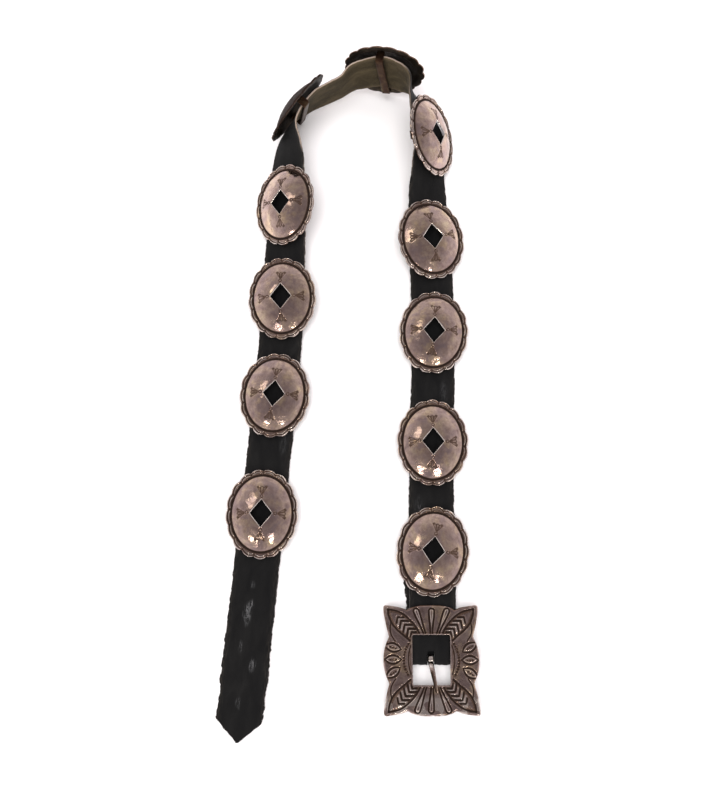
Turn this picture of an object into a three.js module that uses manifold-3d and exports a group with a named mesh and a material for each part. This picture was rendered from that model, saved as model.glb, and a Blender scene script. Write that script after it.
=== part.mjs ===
// Concho belt: one black leather strap laid in a long U on a flat surface, eleven oval
// silver conchos threaded on it by copper loops, and a rectangular stamped buckle with a prong.
// Millimetres, +Z up, +Y along the legs of the U towards its far bend, origin on the surface.
import * as THREE from 'three';
import { mergeVertices } from 'three/addons/utils/BufferGeometryUtils.js';
import Module from 'manifold-3d';

const wasm = await Module();
wasm.setup();

// ---- driving dimensions (mm, degrees) ----
const STRAP_WIDTH = 32;
const STRAP_THICK = 2.2;
const GAP = 0.3;                 // clearance kept between pieces that touch
const CONCHO_LONG = 63.5;        // along the strap
const CONCHO_SHORT = 51.3;       // across the strap
const SCALLOPS = 17;
const PER_SCALLOP = 4;           // outline points for each scallop
const SCALLOP_DEPTH = 0.045;     // share of the radius cut in between two scallops
const DOME_SHARE = 0.85;         // foot of the dome, share of the outline
const DOME_HEIGHT = 7.2;
const DOME_POWER = 2.3;
const RIM_THICK = 1.2;
const WALL = 1.2;
const DIAMOND_LONG = 19;
const DIAMOND_SHORT = 15.5;
const LOOP_WIDTH = 6;            // copper strip, along the strap
const LOOP_THICK = 1.2;
const LOOP_INNER = 17.8;           // half of the clear width of the loop
const SLACK_OVER = 1.9;          // play in the loop between the strap and the rim
const SLACK_UNDER = 0.8;         // and between the strap and the copper strip
const BAR_RADIUS = 1.5;
const BAR_Z = 4.1;
const BAR_Y = -54.6;
const BUCKLE_X = 49.4;
const STRAP_OFFSET = 0.9;        // the strap sits this far off the middle of the buckle
const FRAME_BACK = 8.5;
const FRAME_THICK = 2.6;
const WINDOW_WIDTH = 25.4;
const WINDOW_HEIGHT = 32.4;
const PRONG_WIDTH = 3.7;
const PRONG_TIP_WIDTH = 1.9;
const PRONG_REACH = 21.4;        // from the bar to the tip
const PRONG_LEAN = 3.2;          // sideways run of the tongue at its tip
const EYE_RADIUS = 3.2;
const SLOT_HALF = 2.4;           // half width of the slot cut in the leather for the prong
const SLOT_FRONT = 7.2;          // from the bar through the fold
const SLOT_BACK = 6.4;           // from the bar back into both layers
const CENTRE_X = -7.372;         // the middle of the belt's box, moved to the origin at the end
const CENTRE_Y = 141.706;
const LOWEST_Z = 0.0416;         // the lowest point of the loops, set down on z = 0

// ---- route of the strap: its centre line, and its roll about that line ----
// roll 0 lies flat with the grain side up; at 90 the strap stands on its outer edge.
const ROUTE = [
  // w: share of the full width; turn, tilt, drop and rise: how a concho has turned and leaned, and
  // slid across and off the strap, within the play of its loop
  { x: -81.7, y: -108.6, z: 1.6, roll: 0, w: 0.05 },
  { x: -81.1, y: -101.5, z: 1.6, roll: 0, w: 0.53 },
  { x: -80.5, y: -94.4, z: 1.6, roll: 0, w: 1 },
  { x: -79.3, y: -80, z: 1.6, roll: 0, w: 1 },
  { x: -77.0, y: -52, z: 1.6, roll: 0, w: 1 },
  { x: -73.6, y: -14, z: 1.6, roll: 0, w: 1 },
  { x: -71.2, y: 14, z: 2.2, roll: 0, w: 1 },
  { x: -68.3, y: 44, z: 3.5, roll: 0, w: 1, concho: 1, turn: 4 },
  { x: -64.9, y: 88, z: 2.2, roll: 0, w: 1 },
  { x: -61.2, y: 130, z: 3.5, roll: 0, w: 1, concho: 2, turn: -1 },
  { x: -58.6, y: 168, z: 3.0, roll: 1, w: 1 },
  { x: -56.8, y: 204, z: 5.4, roll: 5, w: 1, concho: 3, turn: 3 },
  { x: -55.8, y: 240, z: 7.4, roll: 15, w: 1 },
  { x: -54.4, y: 277, z: 11.8, roll: 26.5, w: 1, concho: 4, turn: 0 },
  { x: -54.3, y: 308, z: 14.2, roll: 36, w: 1 },
  { x: -53.7, y: 325, z: 17, roll: 50, w: 1 },
  { x: -51.4, y: 338.5, z: 20.7, roll: 67, w: 1 },
  { x: -44.0, y: 350.2, z: 24.4, roll: 74.5, w: 1, concho: 5, turn: 0, tilt: 1.6, rise: -0.3 },
  { x: -35.0, y: 360.2, z: 22.6, roll: 81, w: 1 },
  { x: -25, y: 367.2, z: 20.7, roll: 84, w: 1 },
  { x: -13.5, y: 373.6, z: 20.6, roll: 86, w: 1 },
  { x: -1.8, y: 380.2, z: 23.7, roll: 93, w: 1 },
  { x: 19.3, y: 380.8, z: 29, roll: 96, w: 1, concho: 6, turn: -5, drop: -1.45, tilt: -1.8, rise: -1.2 },
  { x: 35.5, y: 373.4, z: 28.6, roll: 90, w: 1 },
  { x: 42.8, y: 361.8, z: 25.1, roll: 65, w: 1 },
  { x: 49.2, y: 348.4, z: 21.3, roll: 48.5, w: 1 },
  { x: 55.3, y: 332.6, z: 17.2, roll: 42.5, w: 1, concho: 7, turn: 0, tilt: 2.5, drop: 1.4, rise: -1 },
  { x: 53.8, y: 308, z: 12.6, roll: 35.5, w: 1 },
  { x: 53.2, y: 285, z: 8.2, roll: 22, w: 1 },
  { x: 54.4, y: 251, z: 6.8, roll: 10, w: 1, concho: 8, turn: 5 },
  { x: 55.6, y: 214, z: 3.3, roll: 2, w: 1 },
  { x: 55.8, y: 178, z: 3.5, roll: 0, w: 1, concho: 9, turn: -3 },
  { x: 54.8, y: 138, z: 2.2, roll: 0, w: 1 },
  { x: 53.4, y: 95, z: 3.5, roll: 0, w: 1, concho: 10, turn: 1 },
  { x: 52.2, y: 56, z: 2.4, roll: 0, w: 1 },
  { x: 52.0, y: 17.6, z: 3.9, roll: 0, w: 1, concho: 11, turn: -7 },
  { x: 51.4, y: -12, z: 5.5, roll: 0, w: 1 },
  { x: 50.6, y: -36, z: 6.9, roll: 0, w: 1 },
];
const FLAP_END_Y = 4;            // free end of the folded-over buckle end
const FLAP_SHIFT = -3.2;         // its end lies this far to the side

// ---- quarter of the buckle outline, from the top centre clockwise to the side centre ----
const BUCKLE_QUARTER = [
  { x: 0, y: 36.0 }, { x: 8, y: 35.6 }, { x: 13.4, y: 34.2 }, { x: 16.2, y: 32.7 },
  { x: 20.5, y: 34.3 }, { x: 27, y: 35.4 }, { x: 32.2, y: 35.8 }, { x: 31.9, y: 29.5 },
  { x: 30.4, y: 22 }, { x: 28.6, y: 15.2 }, { x: 31, y: 9.5 }, { x: 32.3, y: 3.5 },
];
const CORNER_ROUND = 1;          // rounded corners of the window

const SILVER = { color: 0x8d7a76, metalness: 0.9, roughness: 0.38 };
const LEATHER = { color: 0x1d1c1c, metalness: 0, roughness: 0.85 };

// ---- helpers ----
const rad = THREE.MathUtils.degToRad;

function solidOf(geometry) {
  const g = geometry.clone();
  for (const name of Object.keys(g.attributes)) if (name !== 'position') g.deleteAttribute(name);
  const m = mergeVertices(g, 1e-4);
  return new wasm.Manifold(new wasm.Mesh({
    numProp: 3,
    vertProperties: new Float32Array(m.attributes.position.array),
    triVerts: new Uint32Array(m.index.array),
  }));
}

function geometryOf(solid) {
  const mesh = solid.getMesh();
  const g = new THREE.BufferGeometry();
  g.setAttribute('position', new THREE.BufferAttribute(new Float32Array(mesh.vertProperties), 3));
  g.setIndex(new THREE.BufferAttribute(new Uint32Array(mesh.triVerts), 1));
  g.computeVertexNormals();
  return g;
}

function piece(name, geometry, look) {
  const mesh = new THREE.Mesh(geometry, new THREE.MeshStandardMaterial(look));
  mesh.name = name;
  return mesh;
}

// closed skin over rings of equal length; wrapped rings join the last one to the first
function skin(rings, wrapped) {
  const n = rings[0].length;
  const pos = rings.flat().flatMap((p) => [p.x, p.y, p.z]);
  const index = [];
  const last = wrapped ? rings.length : rings.length - 1;
  for (let i = 0; i < last; i++) {
    const a = i * n;
    const b = ((i + 1) % rings.length) * n;
    for (let j = 0; j < n; j++) {
      const k = (j + 1) % n;
      index.push(a + j, b + j, b + k, a + j, b + k, a + k);
    }
  }
  if (!wrapped) {
    for (let j = 1; j < n - 1; j++) {
      index.push(0, j, j + 1);
      const e = (rings.length - 1) * n;
      index.push(e, e + j + 1, e + j);
    }
  }
  const g = new THREE.BufferGeometry();
  g.setAttribute('position', new THREE.Float32BufferAttribute(pos, 3));
  g.setIndex(index);
  return g;
}

// ---- strap route ----
const spine = new THREE.CatmullRomCurve3(ROUTE.map((r) => new THREE.Vector3(r.x, r.y, r.z)), false, 'centripetal');

// value of a column between two stations, eased so that it has no corner at a station
function column(name, u) {
  const i = Math.min(Math.floor(u), ROUTE.length - 2);
  const t = u - i;
  const a = ROUTE[i][name];
  const b = ROUTE[i + 1][name];
  const before = ROUTE[Math.max(i - 1, 0)][name];
  const after = ROUTE[Math.min(i + 2, ROUTE.length - 1)][name];
  const slope = (p, q, r) => ((q - p) * (r - q) > 0 ? Math.sign(q - p) * Math.min(Math.abs(q - p), Math.abs(r - q), Math.abs(r - p) / 2) : 0);
  const m0 = slope(before, a, b);
  const m1 = slope(a, b, after);
  const h = b - a;
  return a + t * (m0 + t * (3 * h - 2 * m0 - m1 + t * (m0 + m1 - 2 * h)));
}

// axes of the strap at station value u: along, across towards the inner edge, out of the grain
function axesAt(u) {
  const s = u / (ROUTE.length - 1);
  const along = spine.getTangent(s).normalize();
  const flat = new THREE.Vector3(along.y, -along.x, 0).normalize();
  const upish = new THREE.Vector3().crossVectors(flat, along);
  const roll = rad(column('roll', u));
  const across = flat.clone().multiplyScalar(Math.cos(roll)).addScaledVector(upish, Math.sin(roll));
  const out = new THREE.Vector3().crossVectors(across, along);
  return { at: spine.getPoint(s), along, across, out };
}

function strapRing(at, across, out, width) {
  const h = STRAP_THICK / 2;
  const corner = (u, v) => at.clone().addScaledVector(across, u * width / 2).addScaledVector(out, v * h);
  return [corner(-1, -1), corner(1, -1), corner(1, 1), corner(-1, 1)];
}

function strap() {
  const rings = [];
  const last = ROUTE.length - 1;
  for (let i = 0; i < last; i++) {
    const steps = i < 5 ? 1 : 3;
    for (let k = 0; k < steps; k++) {
      const u = i + k / steps;
      const a = axesAt(u);
      const w = THREE.MathUtils.lerp(ROUTE[i].w, ROUTE[i + 1].w, k / steps);
      rings.push(strapRing(a.at, a.across, a.out, STRAP_WIDTH * w));
    }
  }
  const end = ROUTE[last];
  const across = new THREE.Vector3(-1, 0, 0);
  const upper = BAR_Z + BAR_RADIUS + GAP + STRAP_THICK / 2;
  const turn = upper - BAR_Z;
  const layer = [
    { x: end.x, y: end.y, z: end.z, angle: 94 },
    { x: BUCKLE_X + STRAP_OFFSET, y: -46, z: upper - 0.05, angle: 91 },
  ];
  for (let k = 0; k <= 10; k++) {
    const angle = 90 + 18 * k;
    layer.push({ x: BUCKLE_X + STRAP_OFFSET, y: BAR_Y + turn * Math.cos(rad(angle)), z: BAR_Z + turn * Math.sin(rad(angle)), angle });
  }
  for (let k = 1; k <= 4; k++) {
    const t = k / 4;
    layer.push({ x: BUCKLE_X + STRAP_OFFSET + FLAP_SHIFT * t * t, y: BAR_Y + (FLAP_END_Y - BAR_Y) * t, z: BAR_Z - turn, angle: 270 });
  }
  for (const p of layer) {
    const out = new THREE.Vector3(0, Math.cos(rad(p.angle)), Math.sin(rad(p.angle)));
    rings.push(strapRing(new THREE.Vector3(p.x, p.y, p.z), across, out, STRAP_WIDTH));
  }
  const body = solidOf(skin(rings, false));
  const slot = new THREE.BoxGeometry(2 * SLOT_HALF, SLOT_FRONT + SLOT_BACK, 20);
  slot.translate(BUCKLE_X, BAR_Y + (SLOT_BACK - SLOT_FRONT) / 2, BAR_Z);
  return geometryOf(body.subtract(solidOf(slot)));
}

// ---- one concho, with its long axis on +X, its back on z = 0 and its dome towards +Z ----
function outline(share, scalloped) {
  const points = [];
  const count = PER_SCALLOP * SCALLOPS;
  for (let j = 0; j < count; j++) {
    const angle = (2 * Math.PI * j) / count;
    const across = 2 * (j % PER_SCALLOP) / PER_SCALLOP - 1;
    const lobe = scalloped ? 1 - SCALLOP_DEPTH * across * across : 1;
    points.push(new THREE.Vector2(share * lobe * CONCHO_LONG / 2 * Math.cos(angle), share * lobe * CONCHO_SHORT / 2 * Math.sin(angle)));
  }
  return points;
}

function diamond() {
  const count = PER_SCALLOP * SCALLOPS;
  const points = [];
  for (let j = 0; j < count; j++) {
    const angle = (2 * Math.PI * j) / count;
    const c = Math.cos(angle);
    const s = Math.sin(angle);
    const r = 1 / (Math.abs(c) / (DIAMOND_LONG / 2) + Math.abs(s) / (DIAMOND_SHORT / 2));
    points.push(new THREE.Vector2(r * c, r * s));
  }
  return points;
}

function domeZ(share) {
  return RIM_THICK + DOME_HEIGHT * (1 - Math.pow(Math.min(share / DOME_SHARE, 1), DOME_POWER));
}

function domeZAt(p) {
  return domeZ(Math.hypot(p.x / (CONCHO_LONG / 2), p.y / (CONCHO_SHORT / 2)));
}

function conchoGeometry() {
  const lift = (points, z) => points.map((p) => new THREE.Vector3(p.x, p.y, typeof z === 'function' ? z(p) : z));
  const middle = 0.62;
  const inner = DOME_SHARE - 0.035;
  const rings = [
    lift(diamond(), (p) => domeZAt(p)),
    lift(outline(middle, false), domeZ(middle)),
    lift(outline(DOME_SHARE, false), RIM_THICK),
    lift(outline(1, true), RIM_THICK),
    lift(outline(1, true), 0),
    lift(outline(inner, false), 0),
    lift(outline(middle - 0.02, false), domeZ(middle) - WALL),
    lift(diamond(), (p) => domeZAt(p) - WALL),
  ];
  const shell = solidOf(skin(rings, true));
  const under = domeZ((LOOP_INNER + LOOP_THICK / 2) / (CONCHO_SHORT / 2)) - WALL;
  const bottom = -(LOOP_THICK + 2 * GAP + STRAP_THICK + SLACK_OVER + SLACK_UNDER);
  const half = LOOP_INNER + LOOP_THICK;
  const strip = new THREE.Shape([
    new THREE.Vector2(-half, bottom), new THREE.Vector2(half, bottom),
    new THREE.Vector2(half, under + 0.3), new THREE.Vector2(LOOP_INNER, under + 0.65),
    new THREE.Vector2(LOOP_INNER, bottom + LOOP_THICK), new THREE.Vector2(-LOOP_INNER, bottom + LOOP_THICK),
    new THREE.Vector2(-LOOP_INNER, under + 0.65), new THREE.Vector2(-half, under + 0.3),
  ]);
  const loop = new THREE.ExtrudeGeometry(strip, { depth: LOOP_WIDTH, bevelEnabled: false });
  loop.translate(0, 0, -LOOP_WIDTH / 2);
  loop.applyMatrix4(new THREE.Matrix4().makeBasis(new THREE.Vector3(0, 1, 0), new THREE.Vector3(0, 0, 1), new THREE.Vector3(1, 0, 0)));
  return geometryOf(shell.add(solidOf(loop)));
}

function concho(geometry, station) {
  const row = ROUTE[station];
  const a = axesAt(station);
  const lean = rad(row.tilt || 0);
  const out = a.out.clone().multiplyScalar(Math.cos(lean)).addScaledVector(new THREE.Vector3().crossVectors(a.out, a.along), Math.sin(lean));
  const side = new THREE.Vector3().crossVectors(out, a.along);
  const mesh = piece(`concho_${String(row.concho).padStart(2, '0')}`, geometry.clone(), SILVER);
  const basis = new THREE.Matrix4().makeBasis(a.along, side, out);
  mesh.quaternion.setFromRotationMatrix(basis);
  mesh.quaternion.multiply(new THREE.Quaternion().setFromAxisAngle(new THREE.Vector3(0, 0, 1), rad(row.turn)));
  mesh.position.copy(a.at).addScaledVector(a.across, row.drop || 0).addScaledVector(out, STRAP_THICK / 2 + GAP + SLACK_OVER + (row.rise || 0));
  return mesh;
}

// ---- buckle: a flat stamped frame, with the bar held behind it by two posts ----
function buckle() {
  const q = BUCKLE_QUARTER.map((p) => new THREE.Vector2(p.x, p.y));
  const right = [...q, ...q.slice().reverse().map((p) => new THREE.Vector2(p.x, -p.y))];
  const left = right.slice(1, -1).reverse().map((p) => new THREE.Vector2(-p.x, p.y));
  const shape = new THREE.Shape([...right, ...left]);
  const w = WINDOW_WIDTH / 2;
  const h = WINDOW_HEIGHT / 2;
  const r = CORNER_ROUND;
  const hole = new THREE.Path();
  hole.moveTo(-w + r, -h);
  hole.lineTo(w - r, -h);
  hole.absarc(w - r, -h + r, r, -Math.PI / 2, 0);
  hole.lineTo(w, h - r);
  hole.absarc(w - r, h - r, r, 0, Math.PI / 2);
  hole.lineTo(-w + r, h);
  hole.absarc(-w + r, h - r, r, Math.PI / 2, Math.PI);
  hole.lineTo(-w, -h + r);
  hole.absarc(-w + r, -h + r, r, Math.PI, 1.5 * Math.PI);
  shape.holes.push(hole);
  const frame = new THREE.ExtrudeGeometry(shape, { depth: FRAME_THICK, bevelEnabled: false, curveSegments: 4 });
  frame.translate(0, 0, FRAME_BACK);
  let solid = solidOf(frame);
  const reach = STRAP_WIDTH / 2 + STRAP_OFFSET + 0.5 + BAR_RADIUS;
  const bar = new THREE.CylinderGeometry(BAR_RADIUS, BAR_RADIUS, 2 * reach, 20);
  bar.rotateZ(Math.PI / 2);
  bar.translate(0, 0, BAR_Z);
  solid = solid.add(solidOf(bar));
  for (const s of [-1, 1]) {
    const post = new THREE.BoxGeometry(2 * BAR_RADIUS, 2 * BAR_RADIUS, FRAME_BACK - BAR_Z + BAR_RADIUS + 0.5);
    post.translate(s * reach, 0, (FRAME_BACK + 0.5 + BAR_Z - BAR_RADIUS) / 2);
    solid = solid.add(solidOf(post));
  }
  const mesh = piece('buckle', geometryOf(solid), SILVER);
  mesh.position.set(BUCKLE_X, BAR_Y, 0);
  return mesh;
}

// ---- prong: an eye round the bar and a tapering tongue that lies on the lower frame ----
function prong() {
  const top = FRAME_BACK + FRAME_THICK + GAP - BAR_Z;
  const lower = -WINDOW_HEIGHT / 2;
  const shape = new THREE.Shape();
  // seen from the side: first axis towards the tip, second axis up, both from the bar
  shape.moveTo(-1.2, 2.96);
  shape.absarc(0, 0, EYE_RADIUS, rad(112), rad(400), false);
  shape.lineTo(8, 4.3);
  shape.lineTo(-lower - 1.8, top - 0.3);
  shape.lineTo(-lower - 0.6, top);
  shape.lineTo(PRONG_REACH - 0.6, top);
  shape.lineTo(PRONG_REACH, top + 0.6);
  shape.lineTo(PRONG_REACH - 0.8, top + 1.3);
  shape.lineTo(-lower - 0.5, top + 1.9);
  shape.lineTo(8, 6.6);
  shape.lineTo(3.4, 4.5);
  shape.lineTo(1.2, 3.4);
  const eye = new THREE.Path();
  eye.absarc(0, 0, BAR_RADIUS + GAP, 0, 2 * Math.PI, true);
  shape.holes.push(eye);
  const g = new THREE.ExtrudeGeometry(shape, { depth: 1, bevelEnabled: false, curveSegments: 14 });
  g.translate(0, 0, -0.5);
  const p = g.attributes.position;
  for (let i = 0; i < p.count; i++) {
    const t = THREE.MathUtils.clamp((p.getX(i) - EYE_RADIUS) / (PRONG_REACH - EYE_RADIUS), 0, 1);
    p.setZ(i, p.getZ(i) * THREE.MathUtils.lerp(PRONG_WIDTH, PRONG_TIP_WIDTH, t) - PRONG_LEAN * t);
  }
  const toTip = new THREE.Vector3(0, -1, 0);
  const up = new THREE.Vector3(0, 0, 1);
  g.applyMatrix4(new THREE.Matrix4().makeBasis(toTip, up, new THREE.Vector3().crossVectors(toTip, up)));
  const mesh = piece('prong', g, SILVER);
  mesh.position.set(BUCKLE_X, BAR_Y, BAR_Z);
  return mesh;
}

const belt = new THREE.Group();
belt.add(piece('strap', strap(), LEATHER));
const blank = conchoGeometry();
ROUTE.forEach((row, station) => {
  if (row.concho) belt.add(concho(blank, station));
});
belt.add(buckle());
belt.add(prong());
belt.position.set(-CENTRE_X, -CENTRE_Y, -LOWEST_Z);

export default belt;
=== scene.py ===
import math

import bpy
import numpy as np
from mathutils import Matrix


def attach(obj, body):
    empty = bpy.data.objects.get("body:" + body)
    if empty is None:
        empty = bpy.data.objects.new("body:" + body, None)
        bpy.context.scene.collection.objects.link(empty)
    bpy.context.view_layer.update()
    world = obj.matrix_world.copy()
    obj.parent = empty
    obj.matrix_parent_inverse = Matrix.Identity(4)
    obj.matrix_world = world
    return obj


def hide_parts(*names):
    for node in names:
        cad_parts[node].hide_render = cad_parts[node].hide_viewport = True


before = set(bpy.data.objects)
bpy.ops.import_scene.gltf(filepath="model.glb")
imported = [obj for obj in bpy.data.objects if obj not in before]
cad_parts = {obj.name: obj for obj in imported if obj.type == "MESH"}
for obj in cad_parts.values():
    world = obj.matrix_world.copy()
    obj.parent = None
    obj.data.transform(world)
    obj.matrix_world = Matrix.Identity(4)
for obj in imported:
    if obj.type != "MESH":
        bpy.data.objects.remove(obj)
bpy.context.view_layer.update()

# ------------------------------------------------------------------ sizes, as in the solid model (mm)
MOVE = np.array([7.372, -141.706, -0.0416])
STRAP_WIDTH, STRAP_THICK, GAP = 32.0, 2.2, 0.3
LONG, SHORT = 63.5 / 2, 51.3 / 2
SCALLOPS, SCALLOP_DEPTH = 17, 0.045
DOME_SHARE, DOME_HEIGHT, DOME_POWER = 0.85, 7.2, 2.3
RIM_THICK, WALL = 1.2, 1.2
DIAMOND_LONG, DIAMOND_SHORT = 19.0, 15.5
LOOP_WIDTH, LOOP_THICK, LOOP_INNER = 6.0, 1.2, 17.8
SLACK_OVER, SLACK_UNDER = 1.9, 0.8
BAR_RADIUS, BAR_Z, BAR_Y = 1.5, 4.1, -54.6
BUCKLE_X, STRAP_OFFSET = 49.4, 0.9
FRAME_BACK, FRAME_THICK = 8.5, 2.6
WINDOW_W, WINDOW_H, WINDOW_R = 25.4, 32.4, 1.0
PRONG_REACH, PRONG_LEAN = 21.4, 3.2
SLOT_HALF, SLOT_FRONT, SLOT_BACK = 2.4, 7.2, 5.5
FLAP_END_Y, FLAP_SHIFT = 4.0, -3.2

# x, y, z, roll, width share
ROUTE = [
    (-81.7, -108.6, 1.6, 0, 0.05), (-81.1, -101.5, 1.6, 0, 0.53), (-80.5, -94.4, 1.6, 0, 1),
    (-79.3, -80, 1.6, 0, 1), (-77.0, -52, 1.6, 0, 1), (-73.6, -14, 1.6, 0, 1), (-71.2, 14, 2.2, 0, 1),
    (-68.3, 44, 3.5, 0, 1), (-64.9, 88, 2.2, 0, 1), (-61.2, 130, 3.5, 0, 1), (-58.6, 168, 3.0, 1, 1),
    (-56.8, 204, 5.4, 5, 1), (-55.8, 240, 7.4, 15, 1), (-54.4, 277, 11.8, 26.5, 1), (-54.3, 308, 14.2, 36, 1),
    (-53.7, 325, 17, 50, 1), (-51.4, 338.5, 20.7, 67, 1), (-44.0, 350.2, 24.4, 74.5, 1), (-35.0, 360.2, 22.6, 81, 1),
    (-25, 367.2, 20.7, 84, 1), (-13.5, 373.6, 20.6, 86, 1), (-1.8, 380.2, 23.7, 93, 1), (19.3, 380.8, 29, 96, 1),
    (35.5, 373.4, 28.6, 90, 1), (42.8, 361.8, 25.1, 65, 1), (49.2, 348.4, 21.3, 48.5, 1), (55.3, 332.6, 17.2, 42.5, 1),
    (53.8, 308, 12.6, 35.5, 1), (53.2, 285, 8.2, 22, 1), (54.4, 251, 6.8, 10, 1), (55.6, 214, 3.3, 2, 1),
    (55.8, 178, 3.5, 0, 1), (54.8, 138, 2.2, 0, 1), (53.4, 95, 3.5, 0, 1), (52.2, 56, 2.4, 0, 1),
    (52.0, 17.6, 3.9, 0, 1), (51.4, -12, 5.5, 0, 1), (50.6, -36, 6.9, 0, 1),
]
# concho: station on the route, turn in degrees, slide across the strap in mm, lean in degrees, lift in mm
CONCHOS = {
    1: (7, 4, 0, 0, 0), 2: (9, -1, 0, 0, 0), 3: (11, 3, 0, 0, 0), 4: (13, 0, 0, 0, 0), 5: (17, 0, 0, 1.6, -0.3), 6: (22, -5, -1.45, -1.8, -1.2),
    7: (26, 0, 1.4, 2.5, -1), 8: (29, 5, 0, 0, 0), 9: (31, -3, 0, 0, 0), 10: (33, 1, 0, 0, 0), 11: (35, -7, 0, 0, 0),
}


# ------------------------------------------------------------------ small maths
def smooth(x):
    x = np.clip(x, 0, 1)
    return x * x * (3 - 2 * x)


def ridge(d, half):
    """1 on a line, easing to 0 at half its width away."""
    return smooth(1 - np.abs(d) / half)


def lattice(ix, iy, seed):
    v = np.sin(ix * 127.1 + iy * 311.7 + seed * 74.7) * 43758.5453
    return v - np.floor(v)


def noise2(x, y, seed=0):
    """Smooth value noise from -1 to 1."""
    ix, iy = np.floor(x), np.floor(y)
    fx, fy = smooth(x - ix), smooth(y - iy)
    a, b = lattice(ix, iy, seed), lattice(ix + 1, iy, seed)
    c, d = lattice(ix, iy + 1, seed), lattice(ix + 1, iy + 1, seed)
    return 2 * ((a + (b - a) * fx) * (1 - fy) + (c + (d - c) * fx) * fy) - 1


def curve2(points, per=10):
    """Smooth line through 2-D points."""
    p = np.array(points, float)
    q = np.vstack([2 * p[0] - p[1], p, 2 * p[-1] - p[-2]])
    out = []
    for i in range(1, len(q) - 2):
        for k in range(per):
            t = k / per
            out.append(0.5 * (2 * q[i] + (q[i + 1] - q[i - 1]) * t
                              + (2 * q[i - 1] - 5 * q[i] + 4 * q[i + 1] - q[i + 2]) * t * t
                              + (3 * q[i] - q[i - 1] - 3 * q[i + 1] + q[i + 2]) * t ** 3))
    out.append(p[-1])
    return np.array(out)


def to_line(P, line):
    """Distance of 2-D points to a polyline, and how far along it the nearest point is."""
    best = np.full(len(P), 1e9)
    along = np.zeros(len(P))
    run = 0.0
    for a, b in zip(line[:-1], line[1:]):
        ab = b - a
        length = float(np.hypot(*ab)) + 1e-9
        t = np.clip(((P - a) @ ab) / length ** 2, 0, 1)
        d = np.hypot(*(P - a - t[:, None] * ab).T)
        near = d < best
        best[near] = d[near]
        along[near] = run + t[near] * length
        run += length
    return best, along


def inside(P, poly):
    """True for points within a closed polygon."""
    x, y = P.T
    hit = np.zeros(len(P), bool)
    for (x0, y0), (x1, y1) in zip(poly, np.roll(poly, -1, axis=0)):
        crosses = (y0 > y) != (y1 > y)
        with np.errstate(divide="ignore", invalid="ignore"):
            hit ^= crosses & (x < (x1 - x0) * (y - y0) / (y1 - y0) + x0)
    return hit


def reach(angles, poly):
    """Distance from the centre to a closed polygon, in each direction."""
    d = np.stack([np.cos(angles), np.sin(angles)], 1)
    best = np.zeros(len(angles))
    for p, q in zip(poly, np.roll(poly, -1, axis=0)):
        e = q - p
        det = d[:, 0] * -e[1] + d[:, 1] * e[0]
        with np.errstate(divide="ignore", invalid="ignore"):
            r = (p[0] * -e[1] + p[1] * e[0]) / det
            u = (d[:, 0] * p[1] - d[:, 1] * p[0]) / det
        ok = (np.abs(det) > 1e-9) & (r > 0) & (u >= -1e-6) & (u <= 1 + 1e-6)
        best[ok] = np.maximum(best[ok], r[ok])
    return best


# ------------------------------------------------------------------ mesh helpers
def grid_faces(rows, cols, wrap_rows=False, wrap_cols=True, start=0):
    i = np.arange(rows if wrap_rows else rows - 1)
    j = np.arange(cols if wrap_cols else cols - 1)
    I, J = np.meshgrid(i, j, indexing="ij")
    I2, J2 = (I + 1) % rows, (J + 1) % cols
    q = np.stack([I * cols + J, I2 * cols + J, I2 * cols + J2, I * cols + J2], -1)
    return q.reshape(-1, 4) + start


def make(name, verts_mm, faces, mats, slots=None, attributes=None, flat=None):
    """One mesh object from points in the local frame, in mm."""
    mesh = bpy.data.meshes.new(name)
    v = (np.asarray(verts_mm, float) + MOVE) / 1000.0
    faces = [list(map(int, f)) for f in faces]
    mesh.from_pydata(v.tolist(), [], faces)
    for m in mats:
        mesh.materials.append(m)
    if slots is not None:
        mesh.polygons.foreach_set("material_index", np.asarray(slots, np.int32))
    mesh.polygons.foreach_set("use_smooth", np.ones(len(faces), bool))
    for key, value in (attributes or {}).items():
        value = np.asarray(value, np.float32)
        kind = "FLOAT_VECTOR" if value.ndim == 2 else "FLOAT"
        a = mesh.attributes.new(key, kind, "POINT")
        a.data.foreach_set("vector" if value.ndim == 2 else "value", value.ravel())
    mesh.update()
    obj = bpy.data.objects.new(name, mesh)
    bpy.context.scene.collection.objects.link(obj)
    return obj


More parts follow.
